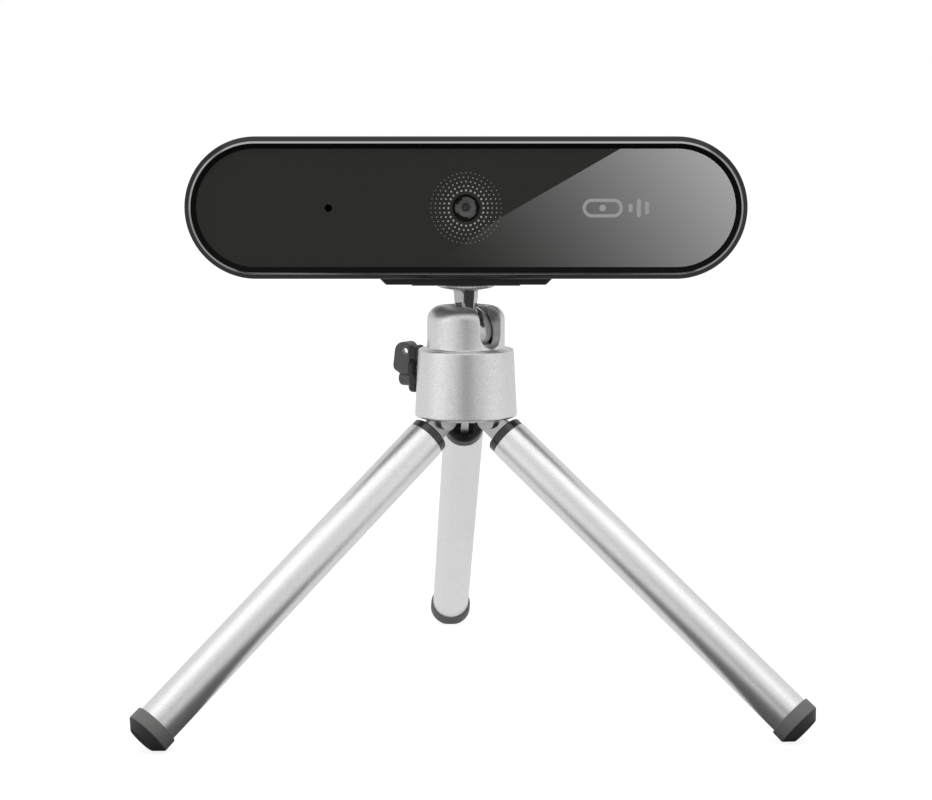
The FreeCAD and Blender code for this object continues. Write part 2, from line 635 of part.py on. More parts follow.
def rear_shell():
    """The rear shell with its screw posts, the pocket for the clip and the hinge lugs."""
    outside = stadium("shell", d.camera_width, d.camera_height, d.shell_depth,
                      seam_y, camera_z, d.shell_taper)
    soften(outside, "Fillet", d.back_round, lambda p: near(p.y, d.shell_depth))
    hollow = stadium("shell_hollow", d.camera_width - 2 * d.shell_wall, d.camera_height - 2 * d.shell_wall,
                     d.shell_depth - d.shell_wall, seam_y, camera_z, d.shell_taper)
    soften(hollow, "Fillet", d.back_round - d.shell_wall, lambda p: near(p.y, d.shell_depth - d.shell_wall))
    open_shell = cut("open_shell", outside, hollow)
    roof = box("pocket_roof", (-pocket_half - d.shell_wall, seam_y, housing_z + 0.4),
               (pocket_half + d.shell_wall, back_y - d.shell_wall, pocket_z + d.shell_wall))
    posts, post_holes = [], []
    for x in (-d.post_reach, d.post_reach):
        for z in (board_z - d.post_rise, board_z + d.post_rise):
            length = back_y - d.shell_wall + 0.5 - (board_y + d.board_thick)
            posts.append(cylinder("post", d.post_dia, length, (x, board_y + d.board_thick, z), ALONG_Y))
            post_holes.append(cylinder("post_hole", 2.0, 6.5, (x, board_y + d.board_thick - 0.5, z), ALONG_Y))
    pocket = box("clip_pocket", (-pocket_half, -d.clip_front - d.gap, housing_z - 3),
                 (pocket_half, back_y + 1, pocket_z))
    body = cut("pocketed_shell", fuse("shell_solid", open_shell, roof, *posts), pocket, *post_holes)
    lugs, pin_holes = [], []
    for x in (-d.lug_offset, d.lug_offset):
        low = x - d.lug_width / 2
        lug_r = d.clip_round - 0.3
        lugs.append(box("hinge_lug", (low, d.clip_pin_back - lug_r, clip_pin_z),
                        (low + d.lug_width, d.clip_pin_back + lug_r, pocket_z + 0.5)))
        lug_at = (low, d.clip_pin_back, clip_pin_z)
        lugs.append(cylinder("hinge_lug_end", 2 * lug_r, d.lug_width, lug_at, ALONG_X))
        pin_holes.append(cylinder("lug_pin_hole", d.clip_pin_dia + 2 * d.slip, d.lug_width + 2,
                                  (low - 1, d.clip_pin_back, clip_pin_z), ALONG_X))
    gland_hole = cylinder("gland_hole", d.gland_dia + 2 * d.bond, 6, (0, back_y - 4, gland_z), ALONG_Y)
    node("rear_shell", cut("shell_cut", fuse("shell_with_lugs", body, *lugs), *pin_holes, gland_hole))


def front_panel():
    """The glossy panel: bevelled border, lens hole and microphone hole, and its adhesive tape."""
    edge = d.rim_width + d.bond
    bevel_y = panel_y + d.panel_bevel_depth
    back_plate = inset("panel_back", edge, d.panel_thick - d.panel_bevel_depth, bevel_y)
    face = stadium("panel_face", d.camera_width - 2 * edge - 2 * d.panel_bevel,
                   d.camera_height - 2 * edge - 2 * d.panel_bevel, d.panel_bevel_depth, panel_y, camera_z)
    spread = math.degrees(math.atan2(float(d.panel_bevel), float(d.panel_bevel_depth)))
    bind(face.Tip, TaperAngle=spread)
    lens_hole = cylinder("lens_hole", d.lens_hole_dia, 6, (0, front_y, camera_z), ALONG_Y)
    mic_hole = cylinder("mic_hole", d.mic_hole_dia, 6, (-d.mic_offset, front_y, camera_z), ALONG_Y)
    node("front_panel", cut("panel_cut", fuse("panel", back_plate, face), lens_hole, mic_hole))
    tape = inset("tape", edge + 0.1, d.tape_thick - 2 * d.bond, panel_y + d.panel_thick + d.bond)
    tape_hole = inset("tape_hole", d.rim_width + d.ledge, 3, panel_y)
    node("panel_tape", cut("tape_cut", tape, tape_hole))


# ---------------------------------------------------------------- camera inside
def electronics():
    half_w, half_h = d.board_width / 2, d.board_height / 2
    board = box("board", (-half_w, board_y, board_z - half_h),
                (half_w, board_y + d.board_thick, board_z + half_h))
    rows = (board_z - d.post_rise, board_z + d.post_rise)
    spots = [(x, z) for x in (-d.post_reach, d.post_reach) for z in rows]
    holes = [cylinder("board_hole", 2.2, 4, (x, board_y - 1, z), ALONG_Y) for x, z in spots]
    node("main_board", cut("board_cut", board, *holes))
    screws = []
    for x, z in spots:
        head = cylinder("screw_head", 3.4, 1.1, (x, board_y - 1.1, z), ALONG_Y)
        shank = cylinder("screw_shank", 1.8, 6.5, (x, board_y - 0.5, z), ALONG_Y)
        recess = cylinder("screw_recess", 1.2, 0.6, (x, board_y - 1.1, z), ALONG_Y)
        screws.append(cut("screw", fuse("screw_solid", head, shank), recess))
    node("board_screws", fuse("screws", *screws))
    back = board_y + d.board_thick
    chips = [box("chip", (x, back, z), (x + w, back + 1, z + w))
             for x, z, w in ((-4, board_z - 3, 7), (-16, board_z - 2, 4), (14, board_z - 4, 3))]
    node("board_chips", fuse("chips", *chips))
    header = box("header", (-24, back, board_z - 4), (-19, back + 4, board_z + 3.5))
    pins = box("header_mouth", (-23.4, back + 1, board_z - 3.4), (-19.6, back + 5, board_z + 2.9))
    node("cable_header", cut("header_cut", header, pins))

    sensor = box("sensor", (-2.2, board_y - 0.8, camera_z - 1.9), (2.2, board_y, camera_z + 1.9))
    node("image_sensor", sensor)
    barrel_y = panel_y + d.barrel_sink
    tube_dia = d.barrel_dia + 2
    base = box("holder_base", (-4.2, board_y - 3, camera_z - 4.2), (4.2, board_y, camera_z + 4.2))
    tube_y = ledge_y + 0.3
    tube = cylinder("holder_tube", tube_dia, board_y - 2.5 - tube_y, (0, tube_y, camera_z), ALONG_Y)
    sight = cylinder("holder_bore", d.barrel_dia + 2 * d.bond, 12, (0, board_y - 13, camera_z), ALONG_Y)
    chamber = box("sensor_chamber", (-2.6, board_y - 2, camera_z - 2.3), (2.6, board_y + 1, camera_z + 2.3))
    node("lens_holder", cut("holder_cut", fuse("holder", base, tube), sight, chamber))

    barrel = cylinder("barrel", d.barrel_dia, d.barrel_length, (0, barrel_y, camera_z), ALONG_Y)
    sight_dia = d.pupil_dia + 2 * d.bond
    light_path = cylinder("light_path", sight_dia, d.barrel_length + 2, (0, barrel_y - 1, camera_z), ALONG_Y)
    funnel = cone("funnel", 2.6, sight_dia, 0.35, (0, barrel_y, camera_z), ALONG_Y)
    node("lens_barrel", cut("barrel_cut", barrel, light_path, funnel))
    glass_y = barrel_y + 0.9
    bulge = math.sqrt(1.2 ** 2 - (float(d.pupil_dia) / 2) ** 2)
    front_glass = cylinder("front_glass", d.pupil_dia, 1.2, (0, glass_y, camera_z), ALONG_Y)
    glass_ball = sphere("glass_ball", 2.4, (0, glass_y + bulge, camera_z))
    trim = box("glass_trim", (-2, glass_y + 0.01, camera_z - 2), (2, glass_y + 4, camera_z + 2))
    front_element = fuse("front_element", front_glass, cut("glass_dome", glass_ball, trim))
    rear_glass = cylinder("rear_glass", d.pupil_dia, 1.4, (0, barrel_y + 4.6, camera_z), ALONG_Y)
    node("lens_elements", fuse("glasses", front_element, rear_glass))

    mic_at = panel_y + d.panel_thick + d.bond
    boot = cylinder("boot", 7.4, board_y - d.bond - mic_at, (-d.mic_offset, mic_at, camera_z), ALONG_Y)
    room = cylinder("boot_room", 6 + 2 * d.bond, 20, (-d.mic_offset, mic_at + 1.2, camera_z), ALONG_Y)
    sound = cylinder("sound_hole", d.mic_hole_dia, 6, (-d.mic_offset, mic_at - 1, camera_z), ALONG_Y)
    node("mic_boot", cut("boot_cut", boot, room, sound))
    capsule = cylinder("capsule", 6, 2.2, (-d.mic_offset, mic_at + 1.2 + d.bond, camera_z), ALONG_Y)
    node("mic_capsule", capsule)


def cable_gland():
    """A rubber gland through the rear wall, with the cable inlet through it."""
    inner_y = back_y - d.shell_wall - 1
    flange = cylinder("gland_flange", d.gland_flange_dia, 1 - d.bond, (0, inner_y, gland_z), ALONG_Y)
    neck = cylinder("gland_neck", d.gland_dia, d.shell_wall + 1.5, (0, inner_y + 0.5, gland_z), ALONG_Y)
    cuff = cone("gland_cuff", d.gland_dia + 1.4, d.gland_dia - 0.2, d.gland_length,
                (0, back_y + d.bond, gland_z), ALONG_Y)
    inlet = cylinder("cable_inlet", d.cable_hole_dia, 20, (0, inner_y - 2, gland_z), ALONG_Y)
    node("cable_gland", cut("gland_cut", fuse("gland", flange, neck, cuff), inlet))


# ---------------------------------------------------------------- clip
def clip_frame():
    """The clip's frame: two forks round the housing's lugs, a roof, and room for the folding leg."""
    half, chamfer = d.clip_width / 2, d.clip_chamfer
    top_z = clip_z + d.clip_thick
    back = d.clip_pin_back
    # the section across X and Z is padded along Y, from the back towards the front
    block = extruded("clip", "XZ_Plane",
                     [(-half, clip_z + chamfer), (-half + chamfer, clip_z), (half - chamfer, clip_z),
                      (half, clip_z + chamfer), (half, top_z), (-half, top_z)],
                     back + d.clip_front)
    put(block, (0, back, 0))
    knuckle_at = (0.3 - half, back, clip_pin_z)
    knuckle = cylinder("clip_knuckle", 2 * d.clip_round, d.clip_width - 0.6, knuckle_at, ALONG_X)
    room_half = d.arm_width / 2 + d.gap
    room = box("arm_room", (-room_half, -d.arm_front - d.gap, clip_z - 1),
               (room_half, back + 6, top_z - d.clip_web))
    round_room = box("arm_round_room", (-room_half, back - d.clip_round - 2 * d.gap, clip_z - 1),
                     (room_half, back + 6, top_z + 1))
    corner = box("clip_corner", (-half - 1, back - 1.2, clip_pin_z + d.clip_round - 0.3),
                 (half + 1, back + 6, top_z + 1))
    forks = []
    for x in (-d.lug_offset, d.lug_offset):
        slot_half = d.lug_width / 2 + d.gap / 2
        forks.append(box("fork_slot", (x - slot_half, back - d.clip_round - d.gap, clip_z - 1),
                         (x + slot_half, back + 6, top_z + 1)))
    pin_hole = cylinder("clip_pin_hole", d.clip_pin_dia + 2 * d.bond, d.clip_width + 2,
                        (-half - 1, back, clip_pin_z), ALONG_X)
    solid = fuse("clip_solid", block, knuckle)
    node("clip_frame", cut("clip_cut", solid, room, round_room, corner, *forks, pin_hole))
    pin_half = half - 0.6
    pin_at = (-pin_half, back, clip_pin_z)
    node("clip_pin", cylinder("clip_pin_rod", d.clip_pin_dia, 2 * pin_half, pin_at, ALONG_X))


def clip_arm():
    """The clip's folding leg with its brass thread insert and rubber pad."""
    half, back = d.arm_width / 2, d.clip_pin_back
    body_z = arm_z + d.arm_pad
    top_z = clip_z + d.clip_thick - d.clip_web - d.gap
    slab = box("arm_slab", (-half, -d.arm_front, body_z), (half, back, top_z))
    knuckle_dia = 2 * (d.clip_round - 0.1)
    knuckle = cylinder("arm_knuckle", knuckle_dia, d.arm_width, (-half, back, clip_pin_z), ALONG_X)
    insert_hole = cylinder("insert_hole", d.insert_dia + 2 * d.bond, 12, (0, 0, arm_z - 2))
    pin_hole = cylinder("arm_pin_hole", d.clip_pin_dia + 2 * d.slip, d.arm_width + 2,
                        (-half - 1, back, clip_pin_z), ALONG_X)
    node("clip_arm", cut("arm_cut", fuse("arm_solid", slab, knuckle), insert_hole, pin_hole))
    insert_low = arm_z + d.bond
    insert = turned("insert", [(d.insert_bore_dia / 2, insert_low), (d.insert_dia / 2, insert_low),
                               (d.insert_dia / 2, top_z), (d.insert_bore_dia / 2, top_z)])
    node("thread_insert", insert)
    pad = box("pad", (-half, -d.arm_front, arm_z), (half, back - d.clip_round - 0.4, body_z - d.bond))
    pad_hole = cylinder("pad_hole", d.insert_dia + 2 * d.bond, 4, (0, 0, arm_z - 1))
    node("clip_arm_pad", cut("pad_cut", pad, pad_hole))


# ---------------------------------------------------------------- build
for number, azimuth in enumerate(leg_azimuths, start=1):
    leg(number, leg_frame(azimuth))
hinge_pins_and_yoke()
head_casting()
ball_seat()
ball_stud()
locking_plate()
knob()
bezel_frame()
rear_shell()
front_panel()
electronics()
cable_gland()
clip_frame()
clip_arm()
doc.recompute()

footprint = FreeCAD.BoundBox()
for piece in nodes:
    footprint.add(piece.Shape.optimalBoundingBox(False))
axis_x, axis_y = -round(footprint.Center.x, 1), -round(footprint.Center.y, 1)
for piece in nodes:
    carry(piece, Placement(Vector(axis_x, axis_y, 0), NO_TURN))
doc.recompute()

failed = [o.Label for o in doc.Objects if {"Invalid", "Error"} & set(o.State)]
if failed:
    raise SystemExit(f"objects that failed to build: {failed}")
for piece in nodes:
    shape = piece.Shape
    if shape.isNull() or not shape.isValid() or not shape.Solids:
        raise SystemExit(f"{piece.Label} has no valid solid")
os.makedirs("parts", exist_ok=True)
for piece in nodes:
    piece.Shape.exportStep(f"parts/{piece.Label}.step")
    print(f"{piece.Label}: {len(piece.Shape.Solids)} solid(s), {piece.Shape.Volume:.1f} mm3")
print(f"tripod axis at {axis_x}, {axis_y}")
for label, level in (("hinge", hinge_z), ("rim", rim_z), ("ball", ball_z), ("knob", knob_z),
                     ("plate", plate_z), ("camera", camera_z), ("clip pin", clip_pin_z),
                     ("gland", gland_z), ("back", back_y)):
    print(f"{label} level {float(level):.3f}")
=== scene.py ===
# %% [markdown]
# # A webcam on a folding mini tripod
#
# This lesson dresses a finished CAD assembly for a studio view. The CAD model gives every
# piece its place and size, and Blender gives it rounded edges, fine detail and a real finish.
# We work in millimetres while a mesh is being shaped and turn it into metres when it is done,
# because small numbers such as 0.00014 are hard to read.

# %% The frame and the tools
import bmesh
import bpy
import json
import math
from mathutils import Matrix, Vector


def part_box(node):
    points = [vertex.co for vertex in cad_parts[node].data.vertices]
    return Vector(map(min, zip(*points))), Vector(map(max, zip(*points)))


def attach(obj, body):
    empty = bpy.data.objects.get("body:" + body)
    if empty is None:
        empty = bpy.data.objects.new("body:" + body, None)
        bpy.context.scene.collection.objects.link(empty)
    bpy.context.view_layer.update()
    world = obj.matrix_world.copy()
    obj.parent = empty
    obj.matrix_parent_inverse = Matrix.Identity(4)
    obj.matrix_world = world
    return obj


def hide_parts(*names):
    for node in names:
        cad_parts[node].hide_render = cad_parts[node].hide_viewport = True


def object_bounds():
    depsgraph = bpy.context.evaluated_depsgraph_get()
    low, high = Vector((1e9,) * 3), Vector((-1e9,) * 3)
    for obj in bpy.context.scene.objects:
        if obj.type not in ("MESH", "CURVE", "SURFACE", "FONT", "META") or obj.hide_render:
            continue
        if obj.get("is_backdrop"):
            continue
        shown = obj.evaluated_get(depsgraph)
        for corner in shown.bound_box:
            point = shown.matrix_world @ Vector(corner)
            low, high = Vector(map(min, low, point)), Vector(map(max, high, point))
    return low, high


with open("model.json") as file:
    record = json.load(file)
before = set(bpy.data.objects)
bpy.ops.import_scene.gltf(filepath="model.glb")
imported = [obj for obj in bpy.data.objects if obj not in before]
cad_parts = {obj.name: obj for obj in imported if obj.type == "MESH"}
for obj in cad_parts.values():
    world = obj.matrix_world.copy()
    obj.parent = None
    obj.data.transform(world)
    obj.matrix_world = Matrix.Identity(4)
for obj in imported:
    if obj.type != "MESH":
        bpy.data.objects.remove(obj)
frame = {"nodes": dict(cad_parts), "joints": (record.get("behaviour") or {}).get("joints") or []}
cad_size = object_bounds()
MM = 0.001
joints = {joint["name"]: joint for joint in frame["joints"]}

# %% [markdown]
# Every place is read from the CAD frame. The swivel's joint stands on the tripod's axis, the
# front frame's box gives the camera's front, and the panel's box gives its outline.

# %% Landmarks
axis_x, axis_y, plate_z = (c / MM for c in joints["camera_swivel"]["pos_m"])
ball_z = joints["ball_tilt"]["pos_m"][2] / MM


def box_mm(name):
    """A CAD node's lowest and highest corner, in millimetres."""
    low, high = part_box(name)
    return low / MM, high / MM


bezel_low, bezel_high = box_mm("bezel_frame")
panel_high = box_mm("front_panel")[1]
front_y = bezel_low.y
centre_z = (bezel_low.z + bezel_high.z) / 2
print(f"front at y {front_y:.1f} mm, lens at z {centre_z:.1f} mm, ball at z {ball_z:.1f} mm")

# %% [markdown]
# ## Shader groups
#
# Real surfaces are never one flat colour. Four effects turn up on many of the materials, so
# each is a node group with named inputs: an uneven tone, a fine grain, the flakes of metallic
# paint and a few hairline scuffs. A group only works out colours, masks and heights. The
# Principled shader stays in each material, where its plain numbers can be read at a glance.

# %% Helpers for node trees
def add(tree, kind, settings=None, **links):
    """A new node. settings are its properties, links its inputs: values or other sockets."""
    made = tree.nodes.new(kind)
    for key, value in (settings or {}).items():
        setattr(made, key, value)
    for key, value in links.items():
        socket = made.inputs[int(key[1:])] if key[0] == "i" and key[1:].isdigit() else made.inputs[key]
        if isinstance(value, bpy.types.NodeSocket):
            tree.links.new(value, socket)
        else:
            socket.default_value = value
    return made


def new_group(name, inputs, outputs):
    """An empty node group with named sockets; returns its tree, its inputs and its output node."""
    tree = bpy.data.node_groups.new(name, "ShaderNodeTree")
    kinds = {"color": "NodeSocketColor", "value": "NodeSocketFloat", "vector": "NodeSocketVector"}
    for direction, sockets in (("INPUT", inputs), ("OUTPUT", outputs)):
        for label, kind in sockets:
            tree.interface.new_socket(label, in_out=direction, socket_type=kinds[kind])
    return tree, tree.nodes.new("NodeGroupInput").outputs, tree.nodes.new("NodeGroupOutput")


def value_math(tree, operation, a, b, clamp=False):
    """The result of one sum on values or sockets."""
    return add(tree, "ShaderNodeMath", {"operation": operation, "use_clamp": clamp}, i0=a, i1=b).outputs[0]


def scaled_place(tree, factor):
    """Object coordinates times a factor, which is a number or a vector socket."""
    place = add(tree, "ShaderNodeTexCoord").outputs["Object"]
    return add(tree, "ShaderNodeVectorMath", {"operation": "SCALE"}, i0=place, Scale=factor).outputs[0]


print("node helpers ready")

# %% [markdown]
# **Uneven tone.** Paint, plastic and rubber all vary slightly in depth from place to place. A
# soft noise shifts the colour and, with a second noise, the roughness, so highlights break up.

# %% Group: uneven tone
def build_uneven():
    tree, given, out = new_group(
        "Uneven tone",
        [("Color", "color"), ("Shade", "value"), ("Roughness", "value"), ("Swing", "value"), ("Size", "value")],
        [("Color", "color"), ("Roughness", "value")],
    )
    place = scaled_place(tree, given["Size"])
    broad = add(tree, "ShaderNodeTexNoise", Vector=place, Scale=1.0, Detail=4.0, Roughness=0.6).outputs[0]
    fine = add(tree, "ShaderNodeTexNoise", Vector=place, Scale=5.3, Detail=3.0, Roughness=0.7).outputs[0]
    drift = value_math(tree, "MULTIPLY", value_math(tree, "SUBTRACT", broad, 0.5), given["Shade"])
    gain = value_math(tree, "ADD", drift, 1.0)
    colour = add(tree, "ShaderNodeVectorMath", {"operation": "SCALE"}, i0=given["Color"], Scale=gain)
    swing = value_math(tree, "MULTIPLY", value_math(tree, "SUBTRACT", fine, 0.5), given["Swing"])
    tree.links.new(colour.outputs[0], out.inputs["Color"])
    tree.links.new(value_math(tree, "ADD", swing, given["Roughness"], clamp=True), out.inputs["Roughness"])
    return tree


uneven = build_uneven()
print("group", uneven.name)

# %% [markdown]
# **Fine grain.** Moulded plastic has a tiny orange-peel, and a drawn tube has lines along its
# length. Both are one noise: the stretch vector makes it round or long. The height goes to Bump.

# %% Group: fine grain
def build_grain():
    tree, given, out = new_group(
        "Fine grain", [("Size", "value"), ("Stretch", "vector")], [("Height", "value")])
    place = add(tree, "ShaderNodeTexCoord").outputs["Object"]
    shaped = add(tree, "ShaderNodeVectorMath", {"operation": "MULTIPLY"}, i0=place, i1=given["Stretch"])
    noise = add(tree, "ShaderNodeTexNoise", Vector=shaped.outputs[0], Scale=given["Size"],
                Detail=3.0, Roughness=0.65)
    tree.links.new(noise.outputs[0], out.inputs["Height"])
    return tree


grain = build_grain()
print("group", grain.name)

# %% [markdown]
# **Metal flake.** Silver paint holds flat flakes that lie at slightly different angles. Each
# Voronoi cell is one flake: its random value makes it lighter or darker, smoother or rougher.

# %% Group: metal flake
def build_flake():
    tree, given, out = new_group(
        "Metal flake",
        [("Color", "color"), ("Sparkle", "value"), ("Roughness", "value"), ("Size", "value")],
        [("Color", "color"), ("Roughness", "value"), ("Height", "value")],
    )
    place = add(tree, "ShaderNodeTexCoord").outputs["Object"]
    cells = add(tree, "ShaderNodeTexVoronoi", Vector=place, Scale=given["Size"]).outputs["Color"]
    parts = add(tree, "ShaderNodeSeparateColor", Color=cells).outputs
    spread = value_math(tree, "MULTIPLY", value_math(tree, "SUBTRACT", parts[0], 0.5), given["Sparkle"])
    colour = add(tree, "ShaderNodeVectorMath", {"operation": "SCALE"}, i0=given["Color"],
                 Scale=value_math(tree, "ADD", spread, 1.0))
    rough = value_math(tree, "ADD", value_math(tree, "MULTIPLY", spread, -0.4), given["Roughness"], clamp=True)
    tree.links.new(colour.outputs[0], out.inputs["Color"])
    tree.links.new(rough, out.inputs["Roughness"])
    tree.links.new(parts[1], out.inputs["Height"])
    return tree


flake = build_flake()
print("group", flake.name)

# %% [markdown]
# **Hairline scuffs.** Handling leaves a few thin lines. A noise stretched hard one way is cut
# off near its top, which leaves only scattered streaks as a mask for roughness.

# %% Group: scuffs
def build_scuffs():
    tree, given, out = new_group(
        "Hairline scuffs", [("Size", "value"), ("Amount", "value"), ("Roughness", "value")],
        [("Roughness", "value"), ("Mask", "value")])
    place = scaled_place(tree, given["Size"])
    tilted = add(tree, "ShaderNodeMapping", Vector=place, Rotation=(0.4, 0.9, 0.3), Scale=(1.0, 14.0, 3.0))
    noise = add(tree, "ShaderNodeTexNoise", Vector=tilted.outputs[0], Scale=1.0, Detail=2.0).outputs[0]
    mask = add(tree, "ShaderNodeMapRange", i0=noise, i1=0.64, i2=0.72, i3=0.0, i4=1.0).outputs[0]
    lift = value_math(tree, "MULTIPLY", mask, given["Amount"])
    tree.links.new(value_math(tree, "ADD", lift, given["Roughness"], clamp=True), out.inputs["Roughness"])
    tree.links.new(mask, out.inputs["Mask"])
    return tree


scuffs = build_scuffs()
print("group", scuffs.name)

# %% [markdown]
# ## Materials
#
# One function wires the groups into a Principled shader: tone first, then flake if the finish
# has any, then scuffs, with the grain as a bump. Each finish is then one call with its own
# colour and numbers, so that the differences between rubber, plastic and metal are easy to see.

# %% A finish from the groups
def finish(name, colour, roughness, shade=0.10, swing=0.08, tone_size=120.0, grain_size=2500.0,
           stretch=(1.0, 1.0, 1.0), bump=0.05, bump_depth=0.00003, sparkle=None, flake_size=5200.0,
           scuff=0.06, **shader_values):
    """A material whose Principled sockets not fed by a group are set by shader_values."""
    made = bpy.data.materials.new(name)
    made.use_nodes = True
    tree = made.node_tree
    shader = tree.nodes["Principled BSDF"]
    tone = add(tree, "ShaderNodeGroup", {"node_tree": uneven}, Color=(*colour, 1.0), Shade=shade,
               Roughness=roughness, Swing=swing, Size=tone_size).outputs
    tint, rough = tone["Color"], tone["Roughness"]
    lines = add(tree, "ShaderNodeGroup", {"node_tree": grain}, Size=grain_size, Stretch=stretch)
    height = lines.outputs["Height"]
    if sparkle:
        flakes = add(tree, "ShaderNodeGroup", {"node_tree": flake}, Color=tint, Sparkle=sparkle,
                     Roughness=rough, Size=flake_size).outputs
        tint, rough, height = flakes["Color"], flakes["Roughness"], flakes["Height"]
    rough = add(tree, "ShaderNodeGroup", {"node_tree": scuffs}, Size=tone_size, Amount=scuff,
                Roughness=rough).outputs["Roughness"]
    bumped = add(tree, "ShaderNodeBump", Height=height, Strength=bump, Distance=bump_depth)
    tree.links.new(tint, shader.inputs["Base Color"])
    tree.links.new(rough, shader.inputs["Roughness"])
    tree.links.new(bumped.outputs[0], shader.inputs["Normal"])
    for socket, value in shader_values.items():
        shader.inputs[socket.replace("_", " ")].default_value = value
    return made


print("finishes use", len((uneven, grain, flake, scuffs)), "groups")

# %% [markdown]
# The head is zinc casting in silver metallic paint. Paint isn't a mirror, so its metal share
# stays under one, and the flakes are about a tenth of a millimetre across.

# %% Metals
silver_paint = finish("silver metallic paint", (0.84, 0.845, 0.84), 0.38, shade=0.06, sparkle=0.26,
                      flake_size=8500.0, bump=0.15, bump_depth=0.00002, Metallic=0.85)
tube_metal = finish("satin anodised tube", (0.87, 0.875, 0.87), 0.36, shade=0.05, sparkle=0.16,
                    flake_size=9000.0, bump=0.12, bump_depth=0.00002, Metallic=0.95)
chrome = finish("polished chrome", (0.50, 0.50, 0.50), 0.07, shade=0.05, swing=0.05, bump=0.02,
                scuff=0.12, Metallic=1.0)
knurled_steel = finish("bright turned steel", (0.62, 0.62, 0.61), 0.26, shade=0.25, tone_size=600.0,
                       bump=0.15, Metallic=1.0)
steel = finish("zinc plated steel", (0.50, 0.50, 0.50), 0.28, shade=0.18, tone_size=420.0,
               stretch=(1.0, 0.15, 1.0), bump=0.12, Metallic=1.0)
brass = finish("turned brass", (0.72, 0.53, 0.26), 0.25, shade=0.15, stretch=(1.0, 1.0, 12.0),
               bump=0.2, Metallic=1.0)
print("metals ready")

# %% [markdown]
# The camera's plastics are three blacks. The frame is polished, the shell has a fine moulded
# texture, and the panel is clear acrylic printed dark grey behind, so it mirrors its
# surroundings a little. The knob is a greyer satin plastic, the plugs are dark nylon, and rubber
# is duller. The knob's base and the feet's undersides each get a darker copy of their own
# material, which is painted shade for sides that face away from the light.

# %% Plastics and rubber
frame_black = finish("polished black plastic", (0.006, 0.006, 0.0058), 0.14, swing=0.06, bump=0.02,
                     IOR=1.36)
trim_line = finish("polished trim edge", (0.30, 0.30, 0.30), 0.16, shade=0.04, bump=0.01, Metallic=1.0)
shell_black = finish("textured black plastic", (0.017, 0.017, 0.0165), 0.44, grain_size=3800.0, bump=0.35)
panel_black = finish("smoked acrylic panel", (0.043, 0.042, 0.040), 0.006, shade=0.05, swing=0.004,
                     bump=0.0, scuff=0.0, IOR=1.42)
ring_black = finish("matte black border", (0.006, 0.006, 0.006), 0.6, bump=0.1, IOR=1.12)
# Painted shade: a darker copy of the knob's black, used on the knob's base.
knob_painted_shade = finish("satin black plastic, painted shade", (0.020, 0.020, 0.0195), 0.45, bump=0.2)
knob_black = finish("satin black plastic", (0.115, 0.115, 0.112), 0.34, grain_size=3000.0, bump=0.22)
plug_black = finish("dark nylon", (0.024, 0.024, 0.0235), 0.20, grain_size=2600.0, bump=0.1, IOR=1.62)
# Painted shade: a darker copy of the rubber, used on the underside cones of the feet.
rubber_painted_shade = finish("rubber in painted shade", (0.045, 0.045, 0.044), 0.6, grain_size=2200.0, bump=0.4)
rubber = finish("moulded rubber", (0.155, 0.155, 0.152), 0.52, shade=0.35, tone_size=260.0,
                grain_size=2200.0, bump=0.5, bump_depth=0.00005)
print("plastics and rubber ready")

# %% [markdown]
# Most of the inside never shows, but it gets its own finishes too, because the model can be
# taken apart: green solder mask, moulded chips, coated glass and natural nylon.

# %% Inner finishes
board_green = finish("green solder mask", (0.010, 0.11, 0.045), 0.30, shade=0.3, tone_size=500.0,
                     stretch=(1.0, 1.0, 0.1), bump=0.3)
chip_black = finish("moulded chip", (0.02, 0.02, 0.021), 0.5, bump=0.3)
connector_white = finish("connector housing", (0.72, 0.69, 0.60), 0.4, bump=0.2)
tape_grey = finish("foam tape", (0.05, 0.05, 0.05), 0.8, bump=0.6)
nylon = finish("natural nylon", (0.72, 0.71, 0.66), 0.45, bump=0.2, Subsurface_Weight=0.1)
barrel_grey = finish("grey lens barrel", (0.10, 0.10, 0.098), 0.42, shade=0.2, tone_size=900.0, bump=0.3)
# Painted shade: a darker copy of the barrel's grey, for its groove, notches and outer rim.
barrel_shadow = finish("lens barrel, painted shade", (0.014, 0.014, 0.014), 0.5, bump=0.2, IOR=1.3)
lens_glass = finish("coated glass", (0.05, 0.05, 0.06), 0.02, shade=0.03, swing=0.01, bump=0.0,
                    scuff=0.0, Transmission_Weight=0.4, IOR=1.6)
print("inner finishes ready")

# %% [markdown]
# ## Shaping tools
#
# Nearly everything here is turned, moulded or swept, so four small helpers do most of the work:
# one rounds the corners of a drawn profile, one turns a profile round an axis, one sweeps it
# round the camera's pill outline, and one applies modifiers to a mesh and returns the result.

# %% Helper: rounded profile
def rounded(corners, steps=7):
    """A profile of (x, y) or (x, y, radius) corners, with each radius turned into an arc."""
    path = []
    for i, corner in enumerate(corners):
        here = Vector(corner[:2])
        if len(corner) < 3:
            path.append(here)
            continue
        before = (Vector(corners[i - 1][:2]) - here).normalized()
        after = (Vector(corners[(i + 1) % len(corners)][:2]) - here).normalized()
        half = before.angle(after) / 2
        centre = here + (before + after).normalized() * corner[2] / math.sin(half)
        start = here + before * corner[2] / math.tan(half) - centre
        end = here + after * corner[2] / math.tan(half) - centre
        turn = -start.angle_signed(end)
        for k in range(steps + 1):
            path.append(centre + Matrix.Rotation(turn * k / steps, 2) @ start)
    return path


print("a corner becomes", len(rounded([(0, 0), (2, 0, 0.5), (2, 2)])), "points")

# %% [markdown]
# A turned part is rings of points joined by quads. A point on the axis is a single vertex, and
# the wave makes a knurled edge by pushing points in and out round the ring.

